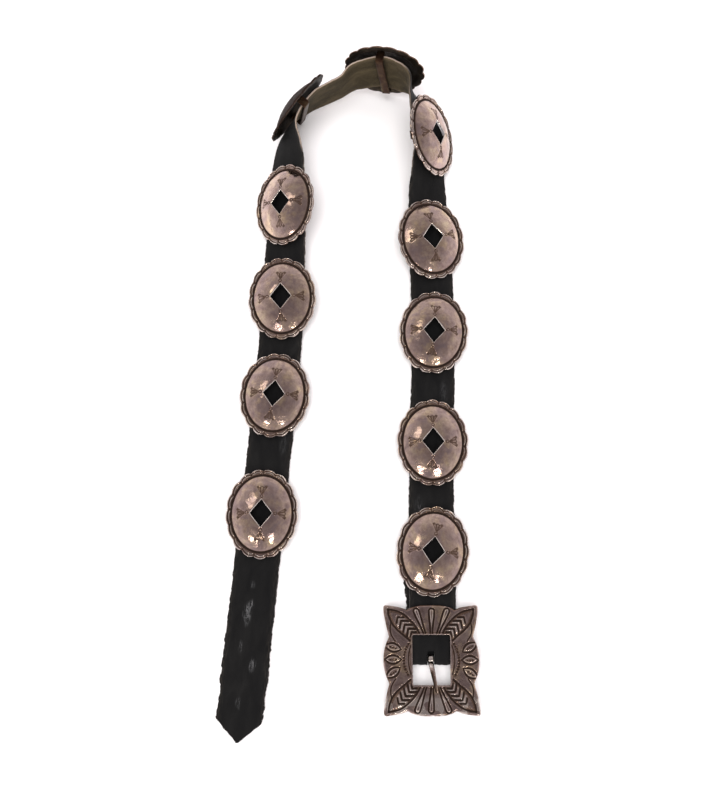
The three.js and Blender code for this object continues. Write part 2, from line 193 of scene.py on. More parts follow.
# ------------------------------------------------------------------ material helpers
class Nodes:
    def __init__(self, name):
        self.mat = bpy.data.materials.new(name)
        self.mat.use_nodes = True
        self.tree = self.mat.node_tree
        self.shader = next(n for n in self.tree.nodes if n.type == "BSDF_PRINCIPLED")

    def new(self, kind, **values):
        n = self.tree.nodes.new(kind)
        for k, v in values.items():
            setattr(n, k, v)
        return n

    def link(self, a, b):
        self.tree.links.new(a, b)

    def put(self, socket, value):
        if isinstance(value, bpy.types.NodeSocket):
            self.link(value, socket)
        else:
            socket.default_value = value

    def attr(self, name, vector=False):
        n = self.new("ShaderNodeAttribute", attribute_name=name)
        return n.outputs["Vector" if vector else "Fac"]

    def maths(self, op, a, b=0.0, clamp=False):
        n = self.new("ShaderNodeMath", operation=op, use_clamp=clamp)
        self.put(n.inputs[0], a)
        self.put(n.inputs[1], b)
        return n.outputs[0]

    def scaled(self, vector, scale, shift=(0, 0, 0)):
        n = self.new("ShaderNodeMapping")
        self.link(vector, n.inputs["Vector"])
        n.inputs["Scale"].default_value = scale
        n.inputs["Location"].default_value = shift
        return n.outputs["Vector"]

    def noise(self, vector, scale, detail=3.0, rough=0.5, distort=0.0):
        n = self.new("ShaderNodeTexNoise")
        self.link(vector, n.inputs["Vector"])
        n.inputs["Scale"].default_value = scale
        n.inputs["Detail"].default_value = detail
        n.inputs["Roughness"].default_value = rough
        n.inputs["Distortion"].default_value = distort
        return n.outputs["Fac"]

    def voronoi(self, vector, scale, feature="F1"):
        n = self.new("ShaderNodeTexVoronoi", feature=feature)
        self.link(vector, n.inputs["Vector"])
        n.inputs["Scale"].default_value = scale
        return n.outputs["Distance"]

    def ramp(self, fac, stops):
        n = self.new("ShaderNodeValToRGB")
        self.put(n.inputs["Fac"], fac)
        e = n.color_ramp.elements
        while len(e) < len(stops):
            e.new(0.5)
        for slot, (pos, colour) in zip(e, stops):
            slot.position = pos
            slot.color = (*colour, 1) if len(colour) == 3 else colour
        return n.outputs["Color"]

    def span(self, value, low, high, to_low=0.0, to_high=1.0):
        n = self.new("ShaderNodeMapRange", clamp=True)
        self.put(n.inputs["Value"], value)
        n.inputs["From Min"].default_value = low
        n.inputs["From Max"].default_value = high
        n.inputs["To Min"].default_value = to_low
        n.inputs["To Max"].default_value = to_high
        return n.outputs["Result"]

    def mix(self, fac, a, b):
        n = self.new("ShaderNodeMix", data_type="RGBA")
        self.put(n.inputs["Factor"], fac)
        self.put(n.inputs[6], a if isinstance(a, bpy.types.NodeSocket) else (*a, 1))
        self.put(n.inputs[7], b if isinstance(b, bpy.types.NodeSocket) else (*b, 1))
        return n.outputs[2]

    def lerp(self, fac, a, b):
        n = self.new("ShaderNodeMix", data_type="FLOAT")
        self.put(n.inputs["Factor"], fac)
        self.put(n.inputs[2], a)
        self.put(n.inputs[3], b)
        return n.outputs[0]

    def bump(self, height, distance, strength=1.0, normal=None):
        n = self.new("ShaderNodeBump")
        self.link(height, n.inputs["Height"])
        n.inputs["Distance"].default_value = distance
        n.inputs["Strength"].default_value = strength
        if normal is not None:
            self.link(normal, n.inputs["Normal"])
        return n.outputs["Normal"]

    def to(self, name, value):
        self.put(self.shader.inputs[name], value)


def silver(name, tints, dark, rough, grime):
    """Worn silver: tinted patches, fine scratches, black in the stamping plus painted shade (attribute oxide), painted
    highlights on cut edges and ridges (attribute bright).
    """
    n = Nodes(name)
    loc = n.attr("loc", vector=True)
    oxide_and_shade = n.attr("oxide_and_shade")
    painted_highlight = n.attr("painted_highlight")
    patch = n.noise(loc, 0.085, 3, 0.55, 0.6)
    base = n.ramp(patch, tints)
    cream = n.noise(n.scaled(loc, (1, 1, 1), (47, 3, 11)), 0.10, 3, 0.55)
    base = n.mix(n.span(cream, 0.54, 0.68, 0, 0.55), base, (0.86, 0.66, 0.42))
    cloud = n.noise(n.scaled(loc, (1, 1, 1), (31, 7, 3)), 0.3, 4, 0.6)
    base = n.mix(n.span(cloud, 0.42, 0.72, 0, grime), base, dark)
    speck = n.noise(n.scaled(loc, (1, 1, 1), (5, 17, 3)), 2.2, 3, 0.6)
    base = n.mix(n.span(speck, 0.60, 0.74, 0, 0.35), base, dark)
    scratch = n.noise(n.scaled(loc, (0.35, 5.5, 1)), 1.0, 3, 0.6)
    scratch2 = n.noise(n.scaled(loc, (4.2, 0.5, 1), (9, 3, 0)), 1.0, 3, 0.6)
    lines = n.maths("MAXIMUM", n.span(scratch, 0.60, 0.72), n.span(scratch2, 0.62, 0.74))
    # brown and black come from the oxide mask: oxide in the stamping, plus painted shade on one concho and along the
    # prong's flank
    edge = n.maths("ADD", oxide_and_shade, n.maths("MULTIPLY", n.maths("SUBTRACT", cloud, 0.5), 0.5))
    brown = n.span(edge, 0.10, 0.46)
    black = n.span(edge, 0.50, 0.88)
    base = n.mix(n.maths("MULTIPLY", brown, 0.92), base, (0.15, 0.088, 0.058))
    base = n.mix(black, base, (0.020, 0.012, 0.009))
    # painted highlights lighten the colour towards cream
    base = n.mix(n.maths("MULTIPLY", painted_highlight, 0.9), base, (0.95, 0.88, 0.82))
    n.to("Base Color", base)
    r = n.span(cloud, 0.3, 0.7, rough[0], rough[1])
    r = n.lerp(n.maths("MULTIPLY", lines, 0.5), r, rough[1] + 0.12)
    n.to("Roughness", n.lerp(black, r, 0.62))
    n.to("Metallic", n.lerp(black, 1.0, 0.12))
    n.to("Specular IOR Level", n.lerp(black, 0.5, 0.15))
    wave = n.noise(n.scaled(loc, (1, 1, 1), (3, 3, 9)), 0.16, 2, 0.5)
    normal = n.bump(wave, 0.00075, 0.55)
    normal = n.bump(cloud, 0.00009, 0.5, normal)
    normal = n.bump(lines, 0.00001, 0.4, normal)
    n.to("Normal", normal)
    return n.mat


def back_silver():
    n = Nodes("silver_back")
    loc = n.attr("loc", vector=True)
    a = n.noise(loc, 0.12, 4, 0.6, 0.5)
    b = n.noise(n.scaled(loc, (1, 1, 1), (4, 9, 2)), 1.3, 3, 0.6)
    base = n.ramp(a, [(0.3, (0.009, 0.006, 0.004)), (0.52, (0.023, 0.017, 0.011)), (0.75, (0.066, 0.050, 0.032))])
    base = n.mix(n.span(b, 0.5, 0.75, 0, 0.5), base, (0.025, 0.016, 0.012))
    n.to("Base Color", base)
    n.to("Roughness", n.span(b, 0.3, 0.7, 0.38, 0.6))
    n.to("Metallic", 0.7)
    n.to("Specular IOR Level", 0.25)
    n.to("Normal", n.bump(b, 0.00008, 0.6, n.bump(a, 0.0004, 0.4)))
    return n.mat


def copper():
    n = Nodes("copper")
    loc = n.attr("loc", vector=True)
    a = n.noise(loc, 0.22, 4, 0.6, 0.4)
    b = n.noise(n.scaled(loc, (0.4, 5, 5)), 1.0, 3, 0.6)
    base = n.ramp(a, [(0.3, (0.026, 0.011, 0.007)), (0.5, (0.052, 0.027, 0.015)), (0.72, (0.105, 0.076, 0.040))])
    base = n.mix(n.span(b, 0.55, 0.75, 0, 0.4), base, (0.06, 0.028, 0.018))
    n.to("Base Color", base)
    n.to("Roughness", n.span(b, 0.3, 0.7, 0.32, 0.5))
    n.to("Metallic", 0.9)
    n.to("Normal", n.bump(b, 0.00004, 0.5, n.bump(a, 0.0003, 0.4)))
    return n.mat


def leather_grain():
    """Black grain side: pebbled, dull, greyed along the edges and scuffed (attribute scuff)."""
    n = Nodes("leather_grain")
    loc = n.attr("loc", vector=True)
    scuff = n.attr("scuff")
    edge = n.attr("edge")
    pebble = n.voronoi(loc, 1.15)
    fine = n.noise(loc, 2.6, 4, 0.65)
    mottle = n.noise(n.scaled(loc, (0.35, 1, 1)), 0.13, 4, 0.6, 0.5)
    streak = n.noise(n.scaled(loc, (0.25, 2.2, 1), (3, 1, 0)), 0.8, 4, 0.65)
    base = n.ramp(mottle, [(0.3, (0.0038, 0.0038, 0.0042)), (0.55, (0.0062, 0.0061, 0.0063)), (0.8, (0.0105, 0.0102, 0.0102))])
    base = n.mix(n.span(fine, 0.5, 0.8, 0, 0.45), base, (0.0135, 0.013, 0.0125))
    worn = n.maths("MULTIPLY", scuff, n.span(n.maths("ADD", streak, n.maths("MULTIPLY", fine, 0.5)), 0.72, 0.86), clamp=True)
    base = n.mix(n.maths("MULTIPLY", worn, 0.9), base, (0.16, 0.16, 0.165))
    rub = n.maths("MULTIPLY", edge, n.span(streak, 0.45, 0.7), clamp=True)
    base = n.mix(n.maths("MULTIPLY", rub, 0.5), base, (0.055, 0.046, 0.038))
    n.to("Base Color", base)
    n.to("Roughness", n.span(fine, 0.3, 0.7, 0.62, 0.86))
    n.to("Specular IOR Level", 0.16)
    n.to("Sheen Weight", 0.02)
    n.to("Sheen Roughness", 0.6)
    normal = n.bump(pebble, 0.00012, 0.55)
    normal = n.bump(fine, 0.00007, 0.6, normal)
    normal = n.bump(mottle, 0.0008, 0.35, normal)
    n.to("Normal", normal)
    return n.mat


def leather_flesh():
    """Brown flesh side: short fibres, paler towards the edges."""
    n = Nodes("leather_flesh")
    loc = n.attr("loc", vector=True)
    edge = n.attr("edge")
    fibre = n.noise(n.scaled(loc, (0.5, 2.4, 1)), 1.1, 5, 0.7, 0.8)
    mottle = n.noise(n.scaled(loc, (0.5, 1, 1), (7, 2, 0)), 0.10, 4, 0.6, 0.6)
    base = n.ramp(mottle, [(0.30, (0.018, 0.0135, 0.0065)), (0.5, (0.045, 0.034, 0.017)), (0.72, (0.092, 0.070, 0.038))])
    base = n.mix(n.span(fibre, 0.45, 0.75, 0, 0.35), base, (0.13, 0.10, 0.058))
    base = n.mix(n.span(fibre, 0.5, 0.25, 0, 0.5), base, (0.03, 0.022, 0.013))
    base = n.mix(n.maths("MULTIPLY", edge, 0.22), base, (0.22, 0.165, 0.11))
    n.to("Base Color", base)
    n.to("Roughness", 0.93)
    n.to("Sheen Weight", 0.04)
    n.to("Sheen Roughness", 0.5)
    n.to("Specular IOR Level", 0.15)
    n.to("Normal", n.bump(fibre, 0.00035, 0.7, n.bump(mottle, 0.0008, 0.4)))
    return n.mat


def leather_edge():
    """Cut edge: layered fibres; raw and pale where it is rubbed (attribute scuff)."""
    n = Nodes("leather_edge")
    loc = n.attr("loc", vector=True)
    scuff = n.attr("scuff")
    layer = n.noise(n.scaled(loc, (0.6, 2.5, 6)), 1.0, 5, 0.7)
    base = n.ramp(layer, [(0.3, (0.010, 0.009, 0.008)), (0.6, (0.024, 0.020, 0.017)), (0.85, (0.06, 0.047, 0.036))])
    raw = n.ramp(layer, [(0.3, (0.20, 0.14, 0.10)), (0.55, (0.42, 0.33, 0.27)), (0.8, (0.62, 0.53, 0.46))])
    n.to("Base Color", n.mix(scuff, base, raw))
    n.to("Roughness", 0.9)
    n.to("Specular IOR Level", 0.2)
    n.to("Sheen Weight", 0.15)
    n.to("Normal", n.bump(layer, 0.0003, 0.8))
    return n.mat


SILVER = silver(
    "silver_domes",
    [(0.28, (0.40, 0.305, 0.305)), (0.42, (0.49, 0.37, 0.345)), (0.56, (0.60, 0.455, 0.385)), (0.72, (0.72, 0.575, 0.42))],
    (0.30, 0.19, 0.165), (0.10, 0.22), 0.5)
SILVER_BUCKLE = silver(
    "silver_buckle",
    [(0.28, (0.32, 0.235, 0.225)), (0.5, (0.43, 0.325, 0.30)), (0.75, (0.58, 0.455, 0.39))],
    (0.14, 0.092, 0.08), (0.14, 0.30), 0.6)
BACK = back_silver()
COPPER = copper()
GRAIN = leather_grain()
FLESH = leather_flesh()
EDGE = leather_edge()


# ------------------------------------------------------------------ route of the strap
PTS = np.array([r[:3] for r in ROUTE], float)
LAST = len(ROUTE) - 1


def spine_at(u):
    """Centripetal curve through the stations, u counted in stations."""
    i = min(int(math.floor(u)), LAST)
    w = u - i
    if i == LAST:
        i, w = LAST - 1, 1.0
    p1, p2 = PTS[i], PTS[i + 1]
    p0 = PTS[i - 1] if i > 0 else 2 * PTS[0] - PTS[1]
    p3 = PTS[i + 2] if i + 2 <= LAST else 2 * PTS[LAST] - PTS[LAST - 1]
    d0, d1, d2 = (max(float(np.dot(b - a, b - a)) ** 0.25, 1e-4) for a, b in ((p0, p1), (p1, p2), (p2, p3)))
    t1 = ((p1 - p0) / d0 - (p2 - p0) / (d0 + d1) + (p2 - p1) / d1) * d1
    t2 = ((p2 - p1) / d1 - (p3 - p1) / (d1 + d2) + (p3 - p2) / d2) * d1
    return p1 + t1 * w + (-3 * p1 + 3 * p2 - 2 * t1 - t2) * w ** 2 + (2 * p1 - 2 * p2 + t1 + t2) * w ** 3


def roll_at(u):
    i = min(int(math.floor(u)), LAST - 1)
    t = u - i
    a, b = ROUTE[i][3], ROUTE[i + 1][3]
    before, after = ROUTE[max(i - 1, 0)][3], ROUTE[min(i + 2, LAST)][3]

    def slope(p, q, r):
        if (q - p) * (r - q) <= 0:
            return 0.0
        return math.copysign(min(abs(q - p), abs(r - q), abs(r - p) / 2), q - p)

    m0, m1, h = slope(before, a, b), slope(a, b, after), b - a
    return a + t * (m0 + t * (3 * h - 2 * m0 - m1 + t * (m0 + m1 - 2 * h)))


def axes_at(u):
    d = 0.0001 * LAST
    along = spine_at(min(u + d, LAST)) - spine_at(max(u - d, 0))
    along /= np.linalg.norm(along)
    flat = np.array([along[1], -along[0], 0.0])
    flat /= np.linalg.norm(flat)
    upish = np.cross(flat, along)
    r = math.radians(roll_at(u))
    across = flat * math.cos(r) + upish * math.sin(r)
    return spine_at(u), along, across, np.cross(across, along)


def strap_rings():
    """Centre, across, out and width share of each ring, about one for each millimetre of strap."""
    rings = []
    for i in range(LAST):
        steps = max(2, int(round(np.linalg.norm(PTS[i + 1] - PTS[i]) / 1.15)))
        for k in range(steps):
            u = i + k / steps
            at, _, across, out = axes_at(u)
            w = ROUTE[i][4] + (ROUTE[i + 1][4] - ROUTE[i][4]) * k / steps
            rings.append((at, across, out, w))
    across = np.array([-1.0, 0, 0])
    x = BUCKLE_X + STRAP_OFFSET
    upper = BAR_Z + BAR_RADIUS + GAP + STRAP_THICK / 2
    turn = upper - BAR_Z

    def ring(px, py, pz, angle):
        a = math.radians(angle)
        rings.append((np.array([px, py, pz]), across, np.array([0, math.cos(a), math.sin(a)]), 1.0))

    end = PTS[LAST]
    stops = [(end[0], end[1], end[2], 94), (x, -46, upper - 0.05, 91), (x, BAR_Y, upper, 90)]
    for (x0, y0, z0, a0), (x1, y1, z1, a1), steps in zip(stops, stops[1:], (9, 8)):
        for k in range(steps):
            t = k / steps
            ring(x0 + (x1 - x0) * t, y0 + (y1 - y0) * t, z0 + (z1 - z0) * t, a0 + (a1 - a0) * t)
    for k in range(19):
        a = 90 + 10 * k
        ring(x, BAR_Y + turn * math.cos(math.radians(a)), BAR_Z + turn * math.sin(math.radians(a)), a)
    for k in range(1, 53):
        t = k / 52
        ring(x + FLAP_SHIFT * t * t, BAR_Y + (FLAP_END_Y - BAR_Y) * t, BAR_Z - turn, 270)
    return rings


def strap():
    rings = strap_rings()
    n = len(rings)
    at = np.array([r[0] for r in rings])
    ac = np.array([r[1] for r in rings])
    out = np.array([r[2] for r in rings])
    w = np.array([r[3] for r in rings])
    run = np.concatenate([[0], np.cumsum(np.linalg.norm(np.diff(at, axis=0), axis=1))])
    half = STRAP_WIDTH / 2
    slot_a, slot_b = STRAP_OFFSET - SLOT_HALF, STRAP_OFFSET + SLOT_HALF
    inner = [-13.5, -11.8, -10, -8.2, -6.4, -4.6, -3.0, slot_a, -0.3, STRAP_OFFSET, 2.1, slot_b, 4.6, 6.2, 8, 9.8, 11.6, 13.4]
    cols = np.array([-half, -half + 0.25, -half + 0.8, -half + 1.5, *inner, half - 1.5, half - 0.8, half - 0.25, half])
    drop = np.array([0.62, 0.25, 0.05, 0, *([0] * len(inner)), 0, 0.05, 0.25, 0.62])
    # flat stretches stay flat on the bar side and at the folded end, so the wear fades out there
    fold = smooth((run[-1] - 118 - run) / 20)[:, None]
    tip = smooth((run - 2) / 20)
    share = w[:, None]
    A = cols[None] * share
    R = run[:, None] + 0 * A
    side = np.sign(cols)[None] * smooth((np.abs(cols) - 13) / 3)[None]
    rag = 0.26 * noise2(R / 2.1, side * 3 + 5, 3) + 0.22 * noise2(R / 6.5, side * 3 + 9, 4) + 0.12 * noise2(R / 0.9, side * 3, 8)
    rough_end = 1 + 1.2 * (1 - smooth((run - 40) / 60))[:, None] + 0.8 * smooth((run - run[-1] + 64) / 4)[:, None]
    A = A + side * (rag * rough_end - 0.12) * np.minimum(share * 1.5, 1)
    swell = 0.16 * noise2(R / 17, A / 9, 21) + 0.09 * noise2(R / 5.5, A / 4, 22)
    crease = 0.10 * noise2(R / 2.6, A / 14, 23)
    lift = (swell + crease) * (0.35 + 0.65 * fold)
    h = STRAP_THICK / 2
    top = at[:, None] + A[..., None] * ac[:, None] + (h - drop[None] * 0.9 + 0.6 * np.minimum(lift, 0.25))[..., None] * out[:, None]
    low = -(h - drop[None] * 0.9) - 0.25 * np.abs(lift) * 0 + 0.3 * np.minimum(lift, 0.1) * fold
    bottom = at[:, None] + A[..., None] * ac[:, None] + low[..., None] * out[:, None]
    # end of the slot in both layers is rounded, and the fold's edge is a little ragged
    layer_y = at[:, 1]
    up = np.zeros(n, bool)
    turn_at = int(np.argmin(layer_y + (at[:, 2] - BAR_Z) ** 2 * 0))
    up[:turn_at] = True
    x_off = (A - STRAP_OFFSET) / SLOT_HALF
    arch = 0.9 * np.sqrt(np.clip(1 - x_off ** 2, 0, 1))
    y_top = BAR_Y + SLOT_BACK
    fade = smooth(1 - (layer_y - y_top) / 9)
    fade[layer_y < y_top - 0.01] = smooth((layer_y[layer_y < y_top - 0.01] - (y_top - 5)) / 5)
    near = (run > run[-1] - 140) & up
    shift = arch * (fade * near)[:, None]
    for g in (top, bottom):
        g[..., 1] += shift
    front = smooth((BAR_Y - 1.5 - top[..., 1]) / 2.2)
    nib = 0.55 * noise2(A / 1.7, 0 * A + 2, 31) + 0.35 * noise2(A / 0.7, 0 * A + 5, 32)
    top[..., 1] += front * (nib * 0.55 + 0.2)
    m = len(cols)
    mid = 0.5 * (top[:, [0, -1]] + bottom[:, [0, -1]])
    bulge = 0.18 * noise2(run / 1.3, run * 0, 41)
    mid[:, 0] += ac * (-(0.25 + bulge))[:, None]
    mid[:, 1] += ac * (0.25 + bulge)[:, None]
    verts = np.concatenate([top.reshape(-1, 3), bottom.reshape(-1, 3), mid.reshape(-1, 3)])
    T = lambda i, j: i * m + j
    B = lambda i, j: n * m + i * m + j
    E = lambda i, j: 2 * n * m + i * 2 + j
    # slot: rings between its two ends, through the fold
    y_mask = layer_y < y_top + 1e-6
    first = int(np.argmax(y_mask & (run > run[-1] - 140)))
    lastr = n - 1
    while layer_y[lastr] > BAR_Y + 3.0:
        lastr -= 1
    j0 = int(np.argmin(np.abs(cols - slot_a)))
    j1 = int(np.argmin(np.abs(cols - slot_b)))
    faces, slots = [], []
    for i in range(n - 1):
        hole = first <= i < lastr
        for j in range(m - 1):
            if hole and j0 <= j < j1:
                continue
            faces.append((T(i, j), T(i, j + 1), T(i + 1, j + 1), T(i + 1, j)))
            slots.append(0)
            faces.append((B(i, j), B(i + 1, j), B(i + 1, j + 1), B(i, j + 1)))
            slots.append(1 if i < n - 60 else 0)
        faces += [(T(i, 0), T(i + 1, 0), E(i + 1, 0), E(i, 0)), (E(i, 0), E(i + 1, 0), B(i + 1, 0), B(i, 0)),
                  (T(i, m - 1), E(i, 1), E(i + 1, 1), T(i + 1, m - 1)), (E(i, 1), B(i, m - 1), B(i + 1, m - 1), E(i + 1, 1))]
        slots += [2] * 4
        if hole:
            faces += [(T(i, j0), B(i, j0), B(i + 1, j0), T(i + 1, j0)), (T(i, j1), T(i + 1, j1), B(i + 1, j1), B(i, j1))]
            slots += [2] * 2
    for j in range(j0, j1):
        faces += [(T(first, j), T(first, j + 1), B(first, j + 1), B(first, j)), (T(lastr, j), B(lastr, j), B(lastr, j + 1), T(lastr, j + 1))]
        slots += [2] * 2
    for j in range(m - 1):
        faces += [(T(0, j), B(0, j), B(0, j + 1), T(0, j + 1)), (T(n - 1, j), T(n - 1, j + 1), B(n - 1, j + 1), B(n - 1, j))]
        slots += [2] * 2
    faces += [(T(0, 0), E(0, 0), B(0, 0)), (T(0, m - 1), B(0, m - 1), E(0, 1)),
              (T(n - 1, 0), B(n - 1, 0), E(n - 1, 0)), (T(n - 1, m - 1), E(n - 1, 1), B(n - 1, m - 1))]
    slots += [2] * 4
    faces = [f[::-1] for f in faces]
    loc_t = np.stack([R, A, 0 * A + 1.0], -1).reshape(-1, 3)
    loc_b = np.stack([R, A, 0 * A - 1.0], -1).reshape(-1, 3)
    loc_e = np.stack([np.repeat(run[:, None], 2, 1), np.tile([-16.3, 16.3], (n, 1)), np.zeros((n, 2))], -1).reshape(-1, 3)
    loc = np.concatenate([loc_t, loc_b, loc_e])
    # rubbed places on the grain side: along the strap, across it, and their reach in both
    sc = np.zeros(len(loc))
    for s0, a0, rs, ra, much in SCUFFS:
        sc = np.maximum(sc, much * smooth(1.25 - np.hypot((loc[:, 0] - s0) / rs, (loc[:, 1] - a0) / ra)))
    raw = np.zeros(len(loc))
    for s0, s1, much in RAW_EDGE:
        raw = np.maximum(raw, much * smooth((loc[:, 0] - s0) / 12) * smooth((s1 - loc[:, 0]) / 12))
    is_edge = np.abs(loc[:, 1]) > 15.4
    sc[is_edge] = np.maximum(sc[is_edge], raw[is_edge])
    near_edge = smooth((np.abs(loc[:, 1]) - 11.5) / 4.5)
    obj = make("strap_leather", verts, faces, [GRAIN, FLESH, EDGE], slots, {"loc": loc, "scuff": sc, "edge": near_edge})
    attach(obj, "belt")
    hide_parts("strap")
    return rings, run


SCUFFS = [
    (50, 4.5, 5, 2.2, 0.8), (84, -2.5, 8, 2.6, 1.0), (90, -0.5, 4, 1.4, 1.0), (25, -2, 4, 1.5, 0.5), (62, -4.5, 4, 1.2, 0.5), (104, -1, 3, 1.0, 0.5),
    (205, 10, 9, 3, 0.2), (600, 9, 12, 3, 0.2), (805, -8, 10, 3, 0.2),
    (890, 9, 9, 3, 0.25), (965, -9, 9, 3, 0.25),
]
RAW_EDGE = [(425, 560, 0.9), (330, 425, 0.35), (560, 640, 0.3)]


# ------------------------------------------------------------------ conchos
def fan(u, v, rng):
    """A flaring stamp: depth and blackness at points u outwards and v sideways from the corner of the diamond."""
    outer = 9.4
    apex = 3.7
    t = (u - apex) / (outer - apex)
    half = 0.55 + 3.55 * np.clip(t, 0, 1.2) ** 1.1
    top = outer - 0.9 * np.abs(np.sin(np.pi * 1.5 * v / 4.0)) + 0.35 * np.abs(v) / 4
    body = smooth((half - np.abs(v)) / 0.45 + 0.4) * smooth((top - u) / 0.5 + 0.2) * smooth((u - apex) / 0.5 + 0.4)
    ang = np.arctan2(v, np.maximum(u - (apex - 1.4), 0.05))
    rays = np.zeros_like(u)
    for a in (-0.53, -0.19, 0.19, 0.53):
        rays = np.maximum(rays, ridge((ang - a) * np.maximum(u - apex + 1.4, 0.3), 0.62))
    strength = 0.75 + 0.25 * noise2(u * 0.4 + rng, v * 0.4, rng)
    ring = ridge(np.hypot(u - 2.2, v) - 1.0, 0.5)
    border = np.maximum(ridge(np.abs(v) - half, 0.42) * smooth((top - u) / 0.4 + 0.5), ridge(u - top, 0.42) * smooth((half - np.abs(v)) / 0.4 + 0.5))
    border = border * smooth((u - apex) / 0.6 + 0.5)
    depth = 0.14 * body + 0.28 * body * rays * strength + 0.26 * ring + 0.16 * border
    black = np.maximum(body * (0.26 + 0.74 * rays) * strength, 0.95 * ring)
    black = np.maximum(black, 0.86 * border * (0.6 + 0.5 * strength))
    wedge = body * smooth((u - (outer - 2.6)) / 1.6) * smooth((np.abs(v) - 1.9) / 0.8)
    black = np.maximum(black, 0.9 * wedge * strength)
    return depth, black


def dome_z(share):
    return RIM_THICK + DOME_HEIGHT * (1 - np.minimum(share / DOME_SHARE, 1) ** DOME_POWER)


def concho_mesh(number):
    """Rings of one concho in its own frame (long axis X, back on z = 0), with its stamping."""
    seed = number * 13
    per = 16
    m = SCALLOPS * per
    th = 2 * np.pi * np.arange(m) / m
    rays = np.stack([LONG * np.cos(th), SHORT * np.sin(th)], 1)
    rho = np.hypot(*rays.T)
    hole = 1 / (np.abs(rays[:, 0]) / (DIAMOND_LONG / 2) + np.abs(rays[:, 1]) / (DIAMOND_SHORT / 2))
    phi = 2 * ((th * SCALLOPS / (2 * np.pi)) % 1) - 1
    lobe_no = np.floor(th * SCALLOPS / (2 * np.pi))
    uneven = 1 + 0.010 * (lattice(lobe_no, 3.0, seed) - 0.5) * (1 - phi ** 2)
    lobe = (1 - SCALLOP_DEPTH * phi ** 2 * (0.8 + 0.2 * phi ** 2)) * uneven
    # dome, from the hole out to its foot
    w = np.concatenate([[0, 0.014, 0.030], np.linspace(0.045, 1, 60)])
    inner = hole[None] + (0.835 - hole[None]) * w[:, None]
    rim_w = np.linspace(0, 1, 23)[1:]
    outer = 0.835 + (lobe[None] - 0.835) * rim_w[:, None]
    s = np.vstack([inner, outer])
    x, y = s * rays[:, 0], s * rays[:, 1]
    z = dome_z(s)
    mm = (s - hole[None]) * rho[None]                     # from the cut edge of the diamond
    e = (lobe[None] - s) * rho[None]                      # from the scalloped edge
    ph = phi[None] + 0 * s
    rim = smooth((s - 0.862) / 0.012)
    pitch = 2 * np.pi * np.sqrt((LONG * np.sin(th)) ** 2 + (SHORT * np.cos(th)) ** 2) / SCALLOPS
    darkening = np.zeros_like(s)
    # dents in the dome
    fade = smooth(mm / 3) * smooth((0.80 - s) / 0.12)
    r = np.random.default_rng(seed)
    for _ in range(11):
        cx, cy = r.uniform(-22, 22), r.uniform(-17, 17)
        size, deep = r.uniform(2.2, 6.5), r.uniform(-0.05, 0.17)
        stretch, turn = r.uniform(0.5, 1.0), r.uniform(0, np.pi)
        dx, dy = x - cx, y - cy
        p, q = dx * np.cos(turn) + dy * np.sin(turn), -dx * np.sin(turn) + dy * np.cos(turn)
        z = z - fade * deep * np.exp(-((p / size) ** 2 + (q / (size * stretch)) ** 2))
    z = z + fade * (0.13 * noise2(x / 9, y / 9, seed + 1) + 0.045 * noise2(x / 3.6, y / 3.6, seed + 2))
    # rim: raised lip, cut line, inner crescents, and a cut between two scallops
    curl = 0.55 * (1 - ph ** 2)
    z = z + rim * 0.42 * ridge(e - 0.60, 0.70)
    line1 = ridge(e - 1.42, 0.70) * rim
    line2 = ridge(e - 2.95 + curl * 0.4, 0.42) * rim * smooth((0.93 - np.abs(ph)) / 0.12)
    pad = ridge(e - 2.6, 1.5) * rim * (1 - ph ** 4)
    cut = ridge((1 - np.abs(ph)) * pitch[None] / 2, 0.95) * rim
    hit = 0.75 + 0.35 * noise2(th * 4, th * 0, seed + 5)[None]
    z = z + 0.30 * pad - 0.46 * line1 * hit - 0.32 * line2 * hit - 0.52 * cut * smooth((e - 0.1) / 0.6)
    z = z - 0.45 * (1 - np.clip(e / 0.42, 0, 1)) ** 2 * rim
    z = z + rim * 0.12 * noise2(x / 5, y / 5, seed + 9)
    darkening = np.maximum(darkening, 0.95 * line1 * hit)
    darkening = np.maximum(darkening, 0.80 * line2 * hit)
    darkening = np.maximum(darkening, 0.95 * cut)
    darkening = np.maximum(darkening, rim * 0.22)
    g = (s - 0.852) * rho[None]
    foot = ridge(g, 1.45)
    z = z - 0.50 * ridge(g, 1.0)
    darkening = np.maximum(darkening, 1.0 * smooth(foot * 1.7))
    # stamps outside the four corners of the diamond
    for k, (dx, dy, start) in enumerate(((1, 0, DIAMOND_LONG / 2), (0, 1, DIAMOND_SHORT / 2), (-1, 0, DIAMOND_LONG / 2), (0, -1, DIAMOND_SHORT / 2))):
        jitter = r.uniform(-0.14, 0.14)
        off = r.uniform(-0.5, 0.5)
        u0, v0 = x * dx + y * dy - start, -x * dy + y * dx - off
        u, v = u0 * math.cos(jitter) + v0 * math.sin(jitter), -u0 * math.sin(jitter) + v0 * math.cos(jitter)
        near = (u > 0.3) & (u < 11) & (np.abs(v) < 6)
        deep, black = fan(u, v, seed + k)
        z = z - np.where(near, deep, 0)
        darkening = np.maximum(darkening, np.where(near, black, 0))
        slit = ridge(v0 + off, 0.40) * smooth((u0 + 0.3) / 0.3) * smooth((1.9 - u0) / 0.5)
        darkening = np.maximum(darkening, 0.9 * slit)
        z = z - 0.2 * slit
    # filed edge of the diamond, with painted highlights on it, on the rim's lip and on the crescents, broken up at
    # random
    bevel = smooth((0.62 - mm) / 0.12)
    lip_light = 1.0 * ridge(e - 0.50, 0.70) * rim * smooth((1 - np.abs(ph)) / 0.35)
    crescent = 0.72 * ridge(e - 2.30 + curl * 0.2, 0.60) * rim * smooth((0.85 - np.abs(ph)) / 0.2)
    # random breakup of the painted highlights
    highlight_breakup = np.clip(0.75 + 0.6 * noise2(x / 6, y / 6, seed + 12), 0, 1)
    bevel_light = np.maximum(bevel, np.maximum(lip_light, crescent) * highlight_breakup)
    z = z - 0.62 * (1 - np.clip(mm / 0.62, 0, 1))
    darkening = darkening * (1 - bevel)
